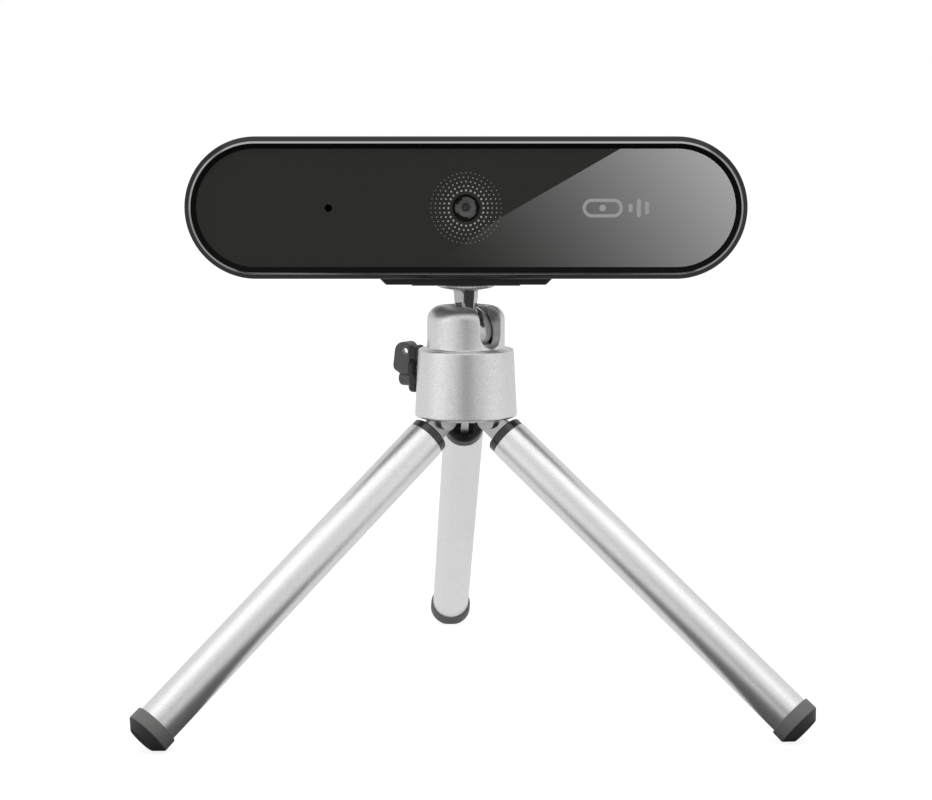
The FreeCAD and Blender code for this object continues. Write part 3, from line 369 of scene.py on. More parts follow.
# %% Helper: turned shape
def turned(profile, sides=96, closed=False, wave=None):
    """A bmesh turned round Z from (radius, z) points. closed joins the last ring to the first."""
    made = bmesh.new()
    rings = []
    for radius, z in profile:
        if radius < 1e-6:
            rings.append([made.verts.new((0, 0, z))] * sides)
            continue
        ring = []
        for k in range(sides):
            angle = 2 * math.pi * k / sides
            reach = radius + (wave(radius, z, k) if wave else 0.0)
            ring.append(made.verts.new((reach * math.cos(angle), reach * math.sin(angle), z)))
        rings.append(ring)
    pairs = list(zip(rings, rings[1:] + rings[:1])) if closed else list(zip(rings, rings[1:]))
    for low, high in pairs:
        for k in range(sides):
            face = [low[k], low[(k + 1) % sides], high[(k + 1) % sides], high[k]]
            face = list(dict.fromkeys(face))
            if len(face) > 2:
                made.faces.new(face)
    if not closed:
        for ring in (rings[0], rings[-1]):
            if len(set(ring)) > 2:
                made.faces.new(ring)
    bmesh.ops.recalc_face_normals(made, faces=made.faces)
    return made


print("helper turned ready")

# %% [markdown]
# The camera's outline is a pill: two half circles joined by straight sides. A ring that lies
# further in is the same pill with a smaller radius, so a profile of (inset, depth) is enough.

# %% Helper: pill sweep
pill_radius = (bezel_high.z - bezel_low.z) / 2
pill_half_straight = (bezel_high.x - bezel_low.x) / 2 - pill_radius
END_STEPS = 64


def pill_points(inset, y, steps=END_STEPS):
    """Points of the camera's outline moved in by inset, at depth y behind the front."""
    radius = pill_radius - inset
    points = []
    for side in (1, -1):
        for k in range(steps + 1):
            angle = math.pi * k / steps - math.pi / 2
            x = side * (pill_half_straight + radius * math.cos(angle))
            points.append(Vector((axis_x + x, front_y + y, centre_z + side * radius * math.sin(angle))))
    return points


def pill_sweep(profile, closed=True):
    """A bmesh swept round the pill from (inset, depth, material) points."""
    made = bmesh.new()
    rings = [[made.verts.new(p) for p in pill_points(inset, y)] for inset, y, _ in profile]
    count = len(rings[0])
    last = len(rings) if closed else len(rings) - 1
    for i in range(last):
        low, high = rings[i], rings[(i + 1) % len(rings)]
        for k in range(count):
            face = made.faces.new([low[k], low[(k + 1) % count], high[(k + 1) % count], high[k]])
            face.material_index = profile[i][2]
    if not closed:
        made.faces.new(rings[0])
        made.faces.new(rings[-1])
    bmesh.ops.recalc_face_normals(made, faces=made.faces)
    return made


print(f"pill of radius {pill_radius:.2f} mm, straight for {2 * pill_half_straight:.2f} mm")

# %% [markdown]
# Modifiers such as Boolean and Remesh are easy to apply from a temporary object. It is then
# removed, and only the finished mesh stays.

# %% Helper: modifiers applied
def reshaped(mesh, *steps):
    """The mesh after modifiers. Each step is a kind and its settings."""
    holder = bpy.data.objects.new("holder", mesh)
    bpy.context.collection.objects.link(holder)
    for kind, settings in steps:
        modifier = holder.modifiers.new(kind, kind)
        for key, value in settings.items():
            setattr(modifier, key, value)
    graph = bpy.context.evaluated_depsgraph_get()
    result = bpy.data.meshes.new_from_object(holder.evaluated_get(graph))
    bpy.data.objects.remove(holder)
    return result


def as_mesh(shape, name="shape"):
    """Turns a bmesh into a mesh and frees it."""
    mesh = bpy.data.meshes.new(name)
    shape.to_mesh(mesh)
    shape.free()
    return mesh


def without(mesh, *cutters):
    """The mesh with the shapes of some bmeshes cut out of it."""
    for cutter in cutters:
        tool = bpy.data.objects.new("cutter", as_mesh(cutter))
        bpy.context.collection.objects.link(tool)
        mesh = reshaped(mesh, ("BOOLEAN", {"operation": "DIFFERENCE", "solver": "EXACT", "object": tool}))
        bpy.data.objects.remove(tool)
    return mesh


print("modifier helpers ready")

# %% [markdown]
# Cast and moulded parts have no sharp edges. A soft copy takes the CAD solid, remeshes it into
# small even quads and relaxes them a few times, which rounds every edge by about the same amount.

# %% Helper: soft copy of a CAD node
def soft_copy(name, voxel, relax):
    """A mesh in millimetres with the node's shape and softened edges."""
    shape = bmesh.new()
    shape.from_mesh(frame["nodes"][name].data)
    bmesh.ops.scale(shape, vec=(1 / MM, 1 / MM, 1 / MM), verts=shape.verts)
    bmesh.ops.remove_doubles(shape, verts=shape.verts, dist=0.0005)
    return reshaped(
        as_mesh(shape),
        ("REMESH", {"mode": "VOXEL", "voxel_size": voxel, "use_smooth_shade": True}),
        ("SMOOTH", {"factor": 0.5, "iterations": relax}),
    )


print("soft copies ready")

# %% [markdown]
# Every piece ends the same way: its mesh is turned into metres, shaded smooth except at real
# edges, given its finishes, and tied to the CAD body that it moves with.

# %% Helper: a finished piece
def piece(name, mesh, finishes, body, nodes, place=None, crease=38.0):
    """The Blender object of a mesh in millimetres, on its body and in place of its CAD nodes."""
    if isinstance(mesh, bmesh.types.BMesh):
        mesh = as_mesh(mesh)
    mesh.name = name
    mesh.transform((place or Matrix()) @ Matrix.Scale(MM, 4))
    if mesh.materials:
        mesh.materials.clear()
    for one in finishes:
        mesh.materials.append(one)
    mesh.shade_smooth()
    mesh.set_sharp_from_angle(angle=math.radians(crease))
    made = bpy.data.objects.new(name, mesh)
    bpy.context.collection.objects.link(made)
    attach(made, body)
    if nodes:
        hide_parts(*nodes)
    print(f"{name}: {len(mesh.polygons)} faces on {body}")
    return made


def moved(shape, matrix):
    """The bmesh after a matrix."""
    bmesh.ops.transform(shape, matrix=matrix, verts=shape.verts)
    return shape


# A turned shape's Z becomes depth into the camera, so that it faces the viewer.
FACING = Matrix.Rotation(math.radians(-90), 4, "X")


def on_front(x, z, y=0.0):
    """Where a point of the camera's face is: x and z from the lens, y behind the frame's front."""
    return Matrix.Translation((axis_x + x, front_y + y, centre_z + z))


# %% [markdown]
# ## The camera's face
#
# The front frame is one polished black moulding. Its outer band is convex, then comes a narrow
# bright-cut edge that catches the light, and then a matt ring that slopes back to the panel.
# Each is a run of the swept profile with its own material.

# %% Front frame
FRAME_DEPTH = bezel_high.y - bezel_low.y
PANEL_SINK = 0.75
BAND, LINE, RING = 0, 1, 2
frame_profile = [
    (0.0, FRAME_DEPTH, BAND), (0.0, 1.45, BAND), (0.02, 1.30, BAND), (0.08, 1.17, BAND), (0.18, 1.05, BAND),
    (0.45, 0.78, BAND), (0.72, 0.51, BAND), (0.95, 0.28, LINE), (1.31, 0.02, LINE), (1.34, 0.0, RING),
    (1.42, 0.02, RING), (2.30, 0.68, RING), (2.42, PANEL_SINK + 0.05, RING), (2.42, PANEL_SINK + 0.5, BAND),
    (1.20, PANEL_SINK + 1.2, BAND), (1.20, FRAME_DEPTH, BAND)]
piece("front_frame", pill_sweep(frame_profile), [frame_black, trim_line, ring_black],
      "camera", ["bezel_frame"], crease=25.0)

# %% [markdown]
# The panel is a flat acrylic pill with two holes, one for the lens and a tiny one for the
# microphone. Cutting real holes keeps their edges crisp in any light.

# %% Front panel
LENS_HOLE, MIC_HOLE, MIC_X = 2.65, 0.72, -26.7
PANEL_BACK = panel_high.y - bezel_low.y

panel_shape = pill_sweep([(2.36, PANEL_SINK, 0), (2.36, PANEL_BACK, 0)], closed=False)
lens_cut = moved(turned([(LENS_HOLE, -3), (LENS_HOLE, 6)], 72), on_front(0, 0) @ FACING)
mic_cut = moved(turned([(MIC_HOLE, -3), (MIC_HOLE, 6)], 40), on_front(MIC_X, 0) @ FACING)
panel = piece("panel", without(as_mesh(panel_shape), lens_cut, mic_cut), [panel_black], "camera",
              ["front_panel"], crease=30.0)

# %% [markdown]
# Five rings of pale dots surround the lens and get smaller outward. They are printed, so each
# is a very thin disc. All the discs together are one mesh, made by a double loop.

# %% Printed dots
printed_grey = finish("pale printing ink", (0.50, 0.50, 0.49), 0.5, bump=0.1)
DOT_RINGS = ((3.42, 24, 0.40), (4.27, 30, 0.33), (5.12, 36, 0.26), (5.97, 42, 0.21), (6.83, 48, 0.16))
INK = 0.02


def disc_on_panel(shape, x, z, radius, sides=14):
    """Adds a thin raised disc to the shape."""
    spot = turned([(radius, 0), (radius, INK)], sides)
    moved(spot, on_front(x, z, PANEL_SINK - INK) @ FACING)
    loose = as_mesh(spot)
    shape.from_mesh(loose)
    bpy.data.meshes.remove(loose)


dots = bmesh.new()
for ring, (ring_radius, count, width) in enumerate(DOT_RINGS):
    for k in range(count):
        angle = 2 * math.pi * (k + (0.5 if ring % 2 else 0.0)) / count
        disc_on_panel(dots, ring_radius * math.sin(angle), ring_radius * math.cos(angle), width / 2)
piece("dot_rings", dots, [printed_grey], "camera", [])
print("dots:", sum(count for _, count, _ in DOT_RINGS))

# %% [markdown]
# Right of the lens is a printed mark. Here it is a plain pictogram: a small pill-shaped camera
# with a round lens, and three bars for sound. Outlines are swept strokes with flat tops.

# %% Helper: flat prints
def flat_prism(shape, outline, hole=None):
    """Adds a thin print of a closed outline, or the band between an outline and a hole."""
    rings = []
    for points in (outline, hole) if hole else (outline,):
        for y in (PANEL_SINK - INK, PANEL_SINK):
            rings.append([shape.verts.new(on_front(x, z, y).translation) for x, z in points])
    count = len(outline)
    if not hole:
        shape.faces.new(rings[0])
    for k in range(count):
        n = (k + 1) % count
        shape.faces.new([rings[0][k], rings[0][n], rings[1][n], rings[1][k]])
        if hole:
            shape.faces.new([rings[2][k], rings[2][n], rings[3][n], rings[3][k]])
            shape.faces.new([rings[0][k], rings[0][n], rings[2][n], rings[2][k]])


def pill_outline(x, z, length, height, steps=16):
    """Points round a small pill whose centre is at x, z; upright if it is taller than it is long."""
    radius = min(length, height) / 2
    along, up = length / 2 - radius, height / 2 - radius
    points = []
    for k in range(4 * steps):
        angle = math.pi * (k + 0.5) / (2 * steps)
        points.append((x + math.copysign(along, math.cos(angle)) + radius * math.cos(angle),
                       z + math.copysign(up, math.sin(angle)) + radius * math.sin(angle)))
    return points


print("a small pill has", len(pill_outline(0, 0, 2, 1)), "points")

# %% [markdown]
# The mark is then a band, a dot and three bars, all laid out from its own left end.

# %% Printed pictogram
MARK_X, MARK_LENGTH, MARK_HEIGHT, STROKE = 22.6, 7.8, 3.6, 0.62
MARK_DOT, BAR_WIDTH, BAR_STEP, FIRST_BAR = 1.3, 0.8, 1.6, 9.3
mark_middle = MARK_X + MARK_LENGTH / 2

mark = bmesh.new()
flat_prism(mark, pill_outline(mark_middle, 0, MARK_LENGTH, MARK_HEIGHT),
           pill_outline(mark_middle, 0, MARK_LENGTH - 2 * STROKE, MARK_HEIGHT - 2 * STROKE))
flat_prism(mark, pill_outline(mark_middle, 0, MARK_DOT, MARK_DOT))
for k, bar in enumerate((1.7, 3.6, 2.5)):
    flat_prism(mark, pill_outline(MARK_X + FIRST_BAR + BAR_STEP * k, 0, BAR_WIDTH, bar))
bmesh.ops.recalc_face_normals(mark, faces=mark.faces)
piece("pictogram", mark, [printed_grey], "camera", [])

# %% [markdown]
# ## The lens
#
# Behind the hole sits a turned barrel. Its grey face has three shallow notches for the focusing
# key, and a dark cone leads the eye to the small glass. The notches are cut as sector blocks.

# %% Helper: sector block
def sector(start, end, inner, outer, depth, steps=12):
    """A block between two angles, measured from the right towards the top, in degrees."""
    made = bmesh.new()
    rings = []
    for reach in (inner, outer):
        for z in (-0.2, depth):
            ring = []
            for k in range(steps + 1):
                angle = math.radians(start + (end - start) * k / steps)
                ring.append(made.verts.new((reach * math.cos(angle), -reach * math.sin(angle), z)))
            rings.append(ring)
    a, b, c, d = rings
    for k in range(steps):
        for low, high in ((a, b), (b, d), (d, c), (c, a)):
            made.faces.new([low[k], low[k + 1], high[k + 1], high[k]])
    made.faces.new([a[0], b[0], d[0], c[0]])
    made.faces.new([a[-1], b[-1], d[-1], c[-1]])
    bmesh.ops.recalc_face_normals(made, faces=made.faces)
    return made


print("helper sector ready")

# %% [markdown]
# The profile runs from the glass outward: the cone's small end, its steps, the flat grey face,
# the groove round it and the outside. The groove, the notches and the rim outside them get a
# darker copy of the grey, which is painted shade in these recesses.

# %% Lens barrel
barrel_low, barrel_high = box_mm("lens_barrel")
BARREL_SINK = barrel_low.y - front_y
BARREL_LENGTH = barrel_high.y - barrel_low.y
BARREL_RADIUS = (barrel_high.x - barrel_low.x) / 2
BORE_RADIUS, CONE_EDGE, GREY_EDGE, GROOVE_EDGE = 0.60, 1.55, 2.14, 2.40
GROOVE_DEPTH, NOTCH_DEPTH = 0.55, 0.5
barrel_profile = rounded([
    (BORE_RADIUS, 0.95), (0.64, 0.62, 0.05), (0.86, 0.40, 0.05), (1.02, 0.16, 0.05), (1.40, 0.05, 0.05),
    (CONE_EDGE, 0.0, 0.04), (GREY_EDGE, 0.0, 0.05), (GREY_EDGE + 0.03, GROOVE_DEPTH),
    (GROOVE_EDGE - 0.02, GROOVE_DEPTH), (GROOVE_EDGE, 0.05, 0.03), (BARREL_RADIUS, 0.05, 0.05),
    (BARREL_RADIUS, BARREL_LENGTH), (BORE_RADIUS, BARREL_LENGTH)])
NOTCHES = ((112, 158, 1.72), (208, 282, 1.76), (-20, 34, 1.94))
notch_blocks = [sector(start, end, inner, GREY_EDGE + 0.02, NOTCH_DEPTH) for start, end, inner in NOTCHES]
barrel_mesh = without(as_mesh(turned(barrel_profile, 90, closed=True)), *notch_blocks)
# Faces in the groove, in the notches and outside the grey face take the darker grey, which is painted shade.
for face in barrel_mesh.polygons:
    across = math.hypot(face.center.x, face.center.y)
    sunk = across > CONE_EDGE + 0.05 and face.center.z > 0.1
    face.material_index = int(across > GREY_EDGE or sunk)
barrel_mesh.transform(on_front(0, 0, BARREL_SINK) @ FACING)
piece("barrel", barrel_mesh, [barrel_grey, barrel_shadow], "camera", ["lens_barrel"], crease=30.0)

# %% [markdown]
# ## The tripod's head
#
# The head is one painted casting: a collar, a shoulder and a dome with a slot for tipping the
# ball. A soft copy gives the rounded edges that paint and casting leave.

# %% Head casting
SOFT_CREASE = 60.0
piece("head", soft_copy("head_casting", voxel=0.16, relax=6), [silver_paint], "head", ["head_casting"],
      crease=SOFT_CREASE)

# %% [markdown]
# The clip under the camera is a flat moulding with soft corners, so it gets a soft copy too.

# %% Clip frame
piece("clip_plate", soft_copy("clip_frame", voxel=0.18, relax=8), [shell_black], "clip", ["clip_frame"],
      crease=SOFT_CREASE)

# %% [markdown]
# The lock knob has a frame of its own, found from its joint: X points out of the head along the
# knob's axis, Y sideways and Z up. Everything on the knob is then drawn as out, side and up.

# %% Knob frame
knob_joint = joints["knob_turn"]
knob_out = Vector(knob_joint["axis"]).normalized()
if knob_out.x > 0:
    knob_out.negate()
knob_side = Vector((knob_out.y, -knob_out.x, 0.0))
if knob_side.y > 0:
    knob_side.negate()
KNOB_FRAME = Matrix((knob_out, knob_side, Vector((0, 0, 1)))).transposed().to_4x4()
KNOB_FRAME.translation = (axis_x, axis_y, knob_joint["pos_m"][2] / MM)
ALONG_OUT = Matrix.Rotation(math.radians(90), 4, "Y")
print("the knob points to", tuple(round(c, 2) for c in knob_out))

# %% [markdown]
# It needs two more shapes, a round bar along the axis and a flat plate, and a helper that joins
# shapes by Boolean.

# %% Helpers: bar, plate and union
def along_out(radius, start, end, height=0.0, sides=64, soft=0.0):
    """A round bar along the knob's axis, from start to end, at a height above it."""
    profile = [(0, start), (radius, start), (radius, end), (0, end)]
    if soft:
        profile = rounded([(0, start), (radius, start, soft), (radius, end, soft), (0, end)])
    return moved(turned(profile, sides), Matrix.Translation((0, 0, height)) @ ALONG_OUT)


def plate_of(outline, thick):
    """A plate from an outline in the knob's out and up directions."""
    made = bmesh.new()
    rings = [[made.verts.new((p.x, side * thick / 2, p.y)) for p in outline] for side in (-1, 1)]
    for ring in rings:
        made.faces.new(ring)
    for k in range(len(outline)):
        n = (k + 1) % len(outline)
        made.faces.new([rings[0][k], rings[0][n], rings[1][n], rings[1][k]])
    bmesh.ops.recalc_face_normals(made, faces=made.faces)
    return made


def joined(first, *others):
    """The union of some bmeshes as one mesh."""
    mesh = as_mesh(first)
    for other in others:
        tool = bpy.data.objects.new("tool", as_mesh(other))
        bpy.context.collection.objects.link(tool)
        mesh = reshaped(mesh, ("BOOLEAN", {"operation": "UNION", "solver": "EXACT", "object": tool}))
        bpy.data.objects.remove(tool)
    return mesh


print("knob helpers ready")

# %% [markdown]
# The knob is moulded in soft-edged black plastic: a slim base, a tongue that the thumb turns,
# with an eye through it, and a short barrel below. The parts are joined, then remeshed and
# relaxed, so they flow into each other as one moulding does. The base is coloured a darker
# black, which is painted shade for the side turned away from the light.

# %% Lock knob
tongue_outline = rounded([(11.9, -1.2, 0.3), (14.5, -1.2, 0.5), (16.2, -0.2, 1.2), (15.5, 5.3, 2.0),
                          (12.1, 5.3, 1.6)], 10)
flank_outline = rounded([(10.85, -3.2, 0.3), (12.3, -3.2, 0.6), (12.3, 4.7, 0.7), (10.85, 4.5, 0.3)], 8)
knob_mesh = joined(
    plate_of(tongue_outline, 3.3),
    plate_of(flank_outline, 3.5),
    along_out(1.55, 11.6, 15.1, -2.2, soft=0.55),
    along_out(1.2, 10.9, 13.0, -3.85, soft=0.6),
    along_out(2.6, 10.9, 12.2, soft=0.3),
)
FLANK_OUT, KNOB_VOXEL, KNOB_RELAX = 12.35, 0.075, 4
EYE_OUT, EYE_UP, EYE_RADIUS, EYE_TURN = 13.95, 3.4, 0.66, math.radians(20)
eye = moved(turned([(EYE_RADIUS, -3), (EYE_RADIUS, 3)], 40),
            Matrix.Translation((EYE_OUT, 0, EYE_UP)) @ Matrix.Rotation(EYE_TURN, 4, "Z")
            @ Matrix.Rotation(math.radians(90), 4, "X"))
knob_mesh = reshaped(without(knob_mesh, eye),
                     ("REMESH", {"mode": "VOXEL", "voxel_size": KNOB_VOXEL, "use_smooth_shade": True}),
                     ("SMOOTH", {"factor": 0.5, "iterations": KNOB_RELAX}))
# Faces nearer the head than FLANK_OUT take the darker black, which is painted shade on the knob's base.
for face in knob_mesh.polygons:
    face.material_index = int(face.center.x < FLANK_OUT)
knob_mesh.transform(KNOB_FRAME)
piece("knob_wing", knob_mesh, [knob_black, knob_painted_shade], "knob", ["lock_knob"],
      crease=SOFT_CREASE)

# %% [markdown]
# The ball, its hexagonal stem and the camera screw are one turned part. It is made as one
# turning too: in the stem's stretch the wave pushes each ring out to a hexagon.

# %% Stem measures
stud_low, stud_high = box_mm("ball_stud")
BALL_RADIUS = (stud_high.x - stud_low.x) / 2
STEM_TURN = math.radians(-76)
STEM_FOOT_RADIUS, STEM_TOP_RADIUS, SHOULDER_RADIUS, SCREW_RADIUS = 1.98, 2.24, 3.5, 3.0
NECK_REACH, ARC_STEP, STUD_SIDES = 2.15, 3.62, 144
stem_foot, stem_top = ball_z + 5.08, plate_z - 1.3


def hexagon(radius, z, k):
    """How far out a point moves to lie on the hexagon whose flats are at this radius."""
    if not stem_foot - 0.01 < z < stem_top + 0.01:
        return 0.0
    turn = (2 * math.pi * k / STUD_SIDES - STEM_TURN + math.pi / 6) % (math.pi / 3) - math.pi / 6
    return radius / math.cos(turn) - radius


print(f"stem from z {stem_foot:.2f} to {stem_top:.2f} mm")

# %% [markdown]
# The profile follows the ball up to the neck, then the stem, its shoulder and the thread. Three
# turns of thread are drawn as plain ridges, which is all that shows once the camera is on.

# %% Ball and stem
THREAD_PITCH, THREAD_DEPTH = 1.27, 0.5
stud_profile = [(0.0, ball_z - BALL_RADIUS)]
for step in range(1, 44):
    swing = math.radians(-90 + ARC_STEP * step)
    reach = BALL_RADIUS * math.cos(swing)
    if swing > 0 and reach < NECK_REACH:
        break
    stud_profile.append((reach, ball_z + BALL_RADIUS * math.sin(swing)))
stud_profile += [(STEM_FOOT_RADIUS, stem_foot), (STEM_TOP_RADIUS, stem_top),
                 (SHOULDER_RADIUS, stem_top + 0.35), (SHOULDER_RADIUS, plate_z), (SCREW_RADIUS, plate_z)]
for turn in range(3):
    base = plate_z + 0.3 + THREAD_PITCH * turn
    stud_profile += [(SCREW_RADIUS - THREAD_DEPTH, base), (SCREW_RADIUS, base + THREAD_PITCH / 2)]
stud_profile += [(SCREW_RADIUS - THREAD_DEPTH, stud_high.z - 0.3), (SCREW_RADIUS - 0.7, stud_high.z),
                 (0.0, stud_high.z)]
ON_AXIS = Matrix.Translation((axis_x, axis_y, 0))
piece("ball_and_stem", moved(turned(stud_profile, STUD_SIDES, wave=hexagon), ON_AXIS), [chrome], "ball",
      ["ball_stud"], crease=32.0)

# %% [markdown]
# The locking plate under the camera is a thin turned disc. Its rim is knurled for the fingers:
# the wave moves every other point of the rim in by a little.

# %% Locking plate
plate_low, plate_high = box_mm("locking_plate")
PLATE_RADIUS = (plate_high.x - plate_low.x) / 2
TEETH = 64
BOSS_RADIUS, KNURL_DEPTH = 3.6, 0.2


def knurl(radius, z, k):
    """How far a point of the rim moves, four points to a tooth."""
    reach = (radius - BOSS_RADIUS) / (PLATE_RADIUS - BOSS_RADIUS)
    return -KNURL_DEPTH * max(reach, 0.0) * (0.5 - 0.5 * math.cos(math.pi * k / 2))


plate_profile = [(0, plate_low.z), (BOSS_RADIUS - 0.3, plate_low.z), (BOSS_RADIUS, plate_low.z + 0.06),
                 (BOSS_RADIUS + 0.7, plate_low.z + 0.16), (PLATE_RADIUS - 0.5, plate_low.z + 0.30),
                 (PLATE_RADIUS - 0.08, plate_low.z + 0.46), (PLATE_RADIUS, plate_low.z + 0.54),
                 (PLATE_RADIUS, plate_high.z - 0.08), (PLATE_RADIUS - 0.1, plate_high.z), (0, plate_high.z)]
piece("knurled_plate", moved(turned(plate_profile, 4 * TEETH, wave=knurl), ON_AXIS), [knurled_steel], "ball",
      ["locking_plate"])

# %% [markdown]
# ## The legs
#
# Each leg is built once, along its own Z from the hinge pin, and placed by a matrix. The pin and
# its direction come from the joint, and the direction of the leg from the middle of its tube.

# %% Leg frames
def leg_place(number):
    """The matrix of a leg's own frame: Z along the leg and Y along its hinge pin."""
    pin = Vector(joints[f"leg_{number}_fold"]["pos_m"])
    side = Vector(joints[f"leg_{number}_fold"]["axis"]).normalized()
    low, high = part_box(f"leg_tube_{number}")
    along = ((low + high) / 2 - pin).normalized()
    across = side.cross(along)
    made = Matrix((across, side, along)).transposed().to_4x4()
    made.translation = pin
    return made


print("leg 1 starts at", tuple(round(c / MM, 2) for c in leg_place(1).translation))

# %% [markdown]
# A leg is a tube with a rubber cap. The cap has a straight skirt and a cone below it. Where the
# cone would dip under the floor it is pressed flat, as soft rubber is, so the foot stands flush.

# %% Tubes and feet
TUBE_START, TUBE_END, TUBE_RADIUS, TUBE_WALL = 5.5, 85.5, 4.1, 0.8
CAP_START, CAP_END, CAP_RADIUS = 82.9, 87.1, 4.62
tube_profile = rounded([
    (TUBE_RADIUS - TUBE_WALL, TUBE_START, 0.15), (TUBE_RADIUS, TUBE_START, 0.18),
    (TUBE_RADIUS, TUBE_END), (TUBE_RADIUS - TUBE_WALL, TUBE_END)])
CAP_BORE, CAP_FLOOR = TUBE_RADIUS + 0.02, TUBE_END + 0.05
cap_profile = rounded([
    (0, CAP_END), (2.8, CAP_END, 0.5), (CAP_RADIUS, TUBE_END - 0.1, 0.28), (CAP_RADIUS - 0.05, CAP_START, 0.14),
    (CAP_BORE, CAP_START, 0.06), (CAP_BORE, CAP_FLOOR), (0, CAP_FLOOR)])
for number in (1, 2, 3):
    place = leg_place(number)
    body = f"leg_{number}"
    piece(f"tube_{number}", turned(tube_profile, 128, closed=True), [tube_metal], body,
          [f"leg_tube_{number}"], place=place)
    cap = turned(cap_profile, 96)
    lowest = place.to_3x3().inverted() @ Vector((0, 0, 1))
    for vertex in cap.verts:
        height = (place @ (vertex.co * MM)).z
        if height < 0:
            vertex.co -= lowest * height / MM
    # The cone below the skirt takes the darker rubber, which is painted shade on the side that faces the floor.
    for face in cap.faces:
        face.material_index = int(face.calc_center_median().z > TUBE_END)
    piece(f"foot_{number}", cap, [rubber, rubber_painted_shade], body, [f"foot_cap_{number}"], place=place)

# %% [markdown]
# ## Finishes for the CAD nodes
#
# The other nodes already have the right shape, so they keep it and only change material.

# %% Finishes by node
FINISHES = {
    "rear_shell": shell_black, "cable_gland": rubber, "clip_arm": shell_black,
    "clip_pin": steel, "thread_insert": brass, "clip_arm_pad": rubber,
    "ball_seat": nylon, "clamp_screw": steel, "leg_yoke": steel,
    "leg_hinge_pins": steel, "yoke_rivet": steel, "panel_tape": tape_grey, "main_board": board_green,
    "board_screws": steel, "board_chips": chip_black, "cable_header": connector_white,
    "image_sensor": chip_black, "lens_holder": barrel_grey, "lens_elements": lens_glass,
    "mic_boot": ring_black, "mic_capsule": ring_black,
}
for number in (1, 2, 3):
    FINISHES[f"leg_plug_{number}"] = plug_black
    FINISHES[f"leg_lug_{number}"] = chrome if number == 3 else steel
    FINISHES[f"plug_pin_{number}"] = steel
for name, material in FINISHES.items():
    node = frame["nodes"][name]
    if not node.material_slots:
        node.data.materials.append(material)
    for slot in node.material_slots:
        slot.material = material
print(len(FINISHES), "nodes keep their CAD shape")

# %% [markdown]
# ## The studio
#
# Floor and sky both look different to different rays: one way to the camera, another in gloss
# and a third as plain light. Two helpers make that switch, so the metal can be given a calm,
# slightly darker room than the white one behind the object.

# %% Helpers: light by kind of ray
def light_switch(tree, plain, seen_in_gloss, seen_by_camera):
    """A shader that differs for camera, glossy and other rays."""
    path = add(tree, "ShaderNodeLightPath")
    gloss = add(tree, "ShaderNodeMixShader", i0=path.outputs["Is Glossy Ray"], i1=plain, i2=seen_in_gloss)
    return add(tree, "ShaderNodeMixShader", i0=path.outputs["Is Camera Ray"], i1=gloss.outputs[0],
               i2=seen_by_camera).outputs[0]


def glow(tree, level, kind="ShaderNodeEmission"):
    """A grey light of this level."""
    return add(tree, kind, Color=(level, level, level, 1.0), Strength=1.0).outputs[0]


print("ray helpers ready")

# %% [markdown]
# The floor is a plain pale sheet. It looks white to the camera, but metal and gloss see it
# darker, as they would a floor that falls into shade under the object.

# %% Floor
PAPER_SHADE, PAPER_GLOW, PAPER_IN_GLOSS, FLOOR_HALF = 0.28, 0.86, 0.80, 12.0
sheet_paper = bpy.data.materials.new("pale floor")
sheet_paper.use_nodes = True
tree = sheet_paper.node_tree
tree.nodes.clear()
paper = add(tree, "ShaderNodeBsdfDiffuse", Color=(PAPER_SHADE,) * 3 + (1.0,)).outputs[0]
bright_paper = add(tree, "ShaderNodeAddShader", i0=paper, i1=glow(tree, PAPER_GLOW)).outputs[0]
tree.links.new(light_switch(tree, paper, glow(tree, PAPER_IN_GLOSS), bright_paper),
               add(tree, "ShaderNodeOutputMaterial").inputs[0])

floor_shape = bmesh.new()
bmesh.ops.create_grid(floor_shape, x_segments=1, y_segments=1, size=FLOOR_HALF)
floor_mesh = as_mesh(floor_shape, "floor")
floor_mesh.materials.append(sheet_paper)
floor = bpy.data.objects.new("floor", floor_mesh)
bpy.context.collection.objects.link(floor)
floor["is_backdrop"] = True
print("floor", floor.dimensions.x, "m wide")

# %% [markdown]
# The sky is an even pale grey that lights everything softly from all sides.

# %% World
SKY_PLAIN, SKY_IN_GLOSS, SKY_SEEN = 0.75, 0.74, 1.0
sky = bpy.data.worlds.new("studio")
bpy.context.scene.world = sky
sky.use_nodes = True
tree = sky.node_tree
tree.nodes.clear()
skies = [glow(tree, level, "ShaderNodeBackground") for level in (SKY_PLAIN, SKY_IN_GLOSS, SKY_SEEN)]
tree.links.new(light_switch(tree, *skies), add(tree, "ShaderNodeOutputWorld").inputs[0])
print("world", sky.name)

# %% [markdown]
# Three soft boxes light the object: a large one overhead and one at each side. A soft box is an
# area light whose power is worked out from its size, so its brightness can be set directly.

# %% Soft boxes
centre = Vector((axis_x, axis_y, 60.0)) * MM


def soft_box(name, offset, width, height, brightness):
    """An area light at centre + offset, facing the object. brightness is its radiance."""
    light = bpy.data.lights.new(name, "AREA")
    light.shape = "RECTANGLE"
    light.size, light.size_y = width, height
    light.energy = math.pi * width * height * brightness
    holder = bpy.data.objects.new(name, light)
    bpy.context.collection.objects.link(holder)
    holder.location = centre + Vector(offset)
    holder.rotation_euler = (-Vector(offset)).to_track_quat("-Z", "Y").to_euler()
    holder.visible_camera = False
    print(f"{name}: {light.energy:.1f} W")


soft_box("overhead", (0.0, -0.15, 1.1), 1.5, 1.3, 0.62)
soft_box("left", (-1.2, -0.55, 0.45), 0.9, 1.2, 0.5)
soft_box("right", (1.2, -0.45, 0.45), 0.8, 1.2, 0.22)

# %% [markdown]
# Studios also stand dark or bright cards round an object for its gloss to mirror. Only gloss can
# see these, so they cast no shadow. One helper makes such a card and another its plain glow.

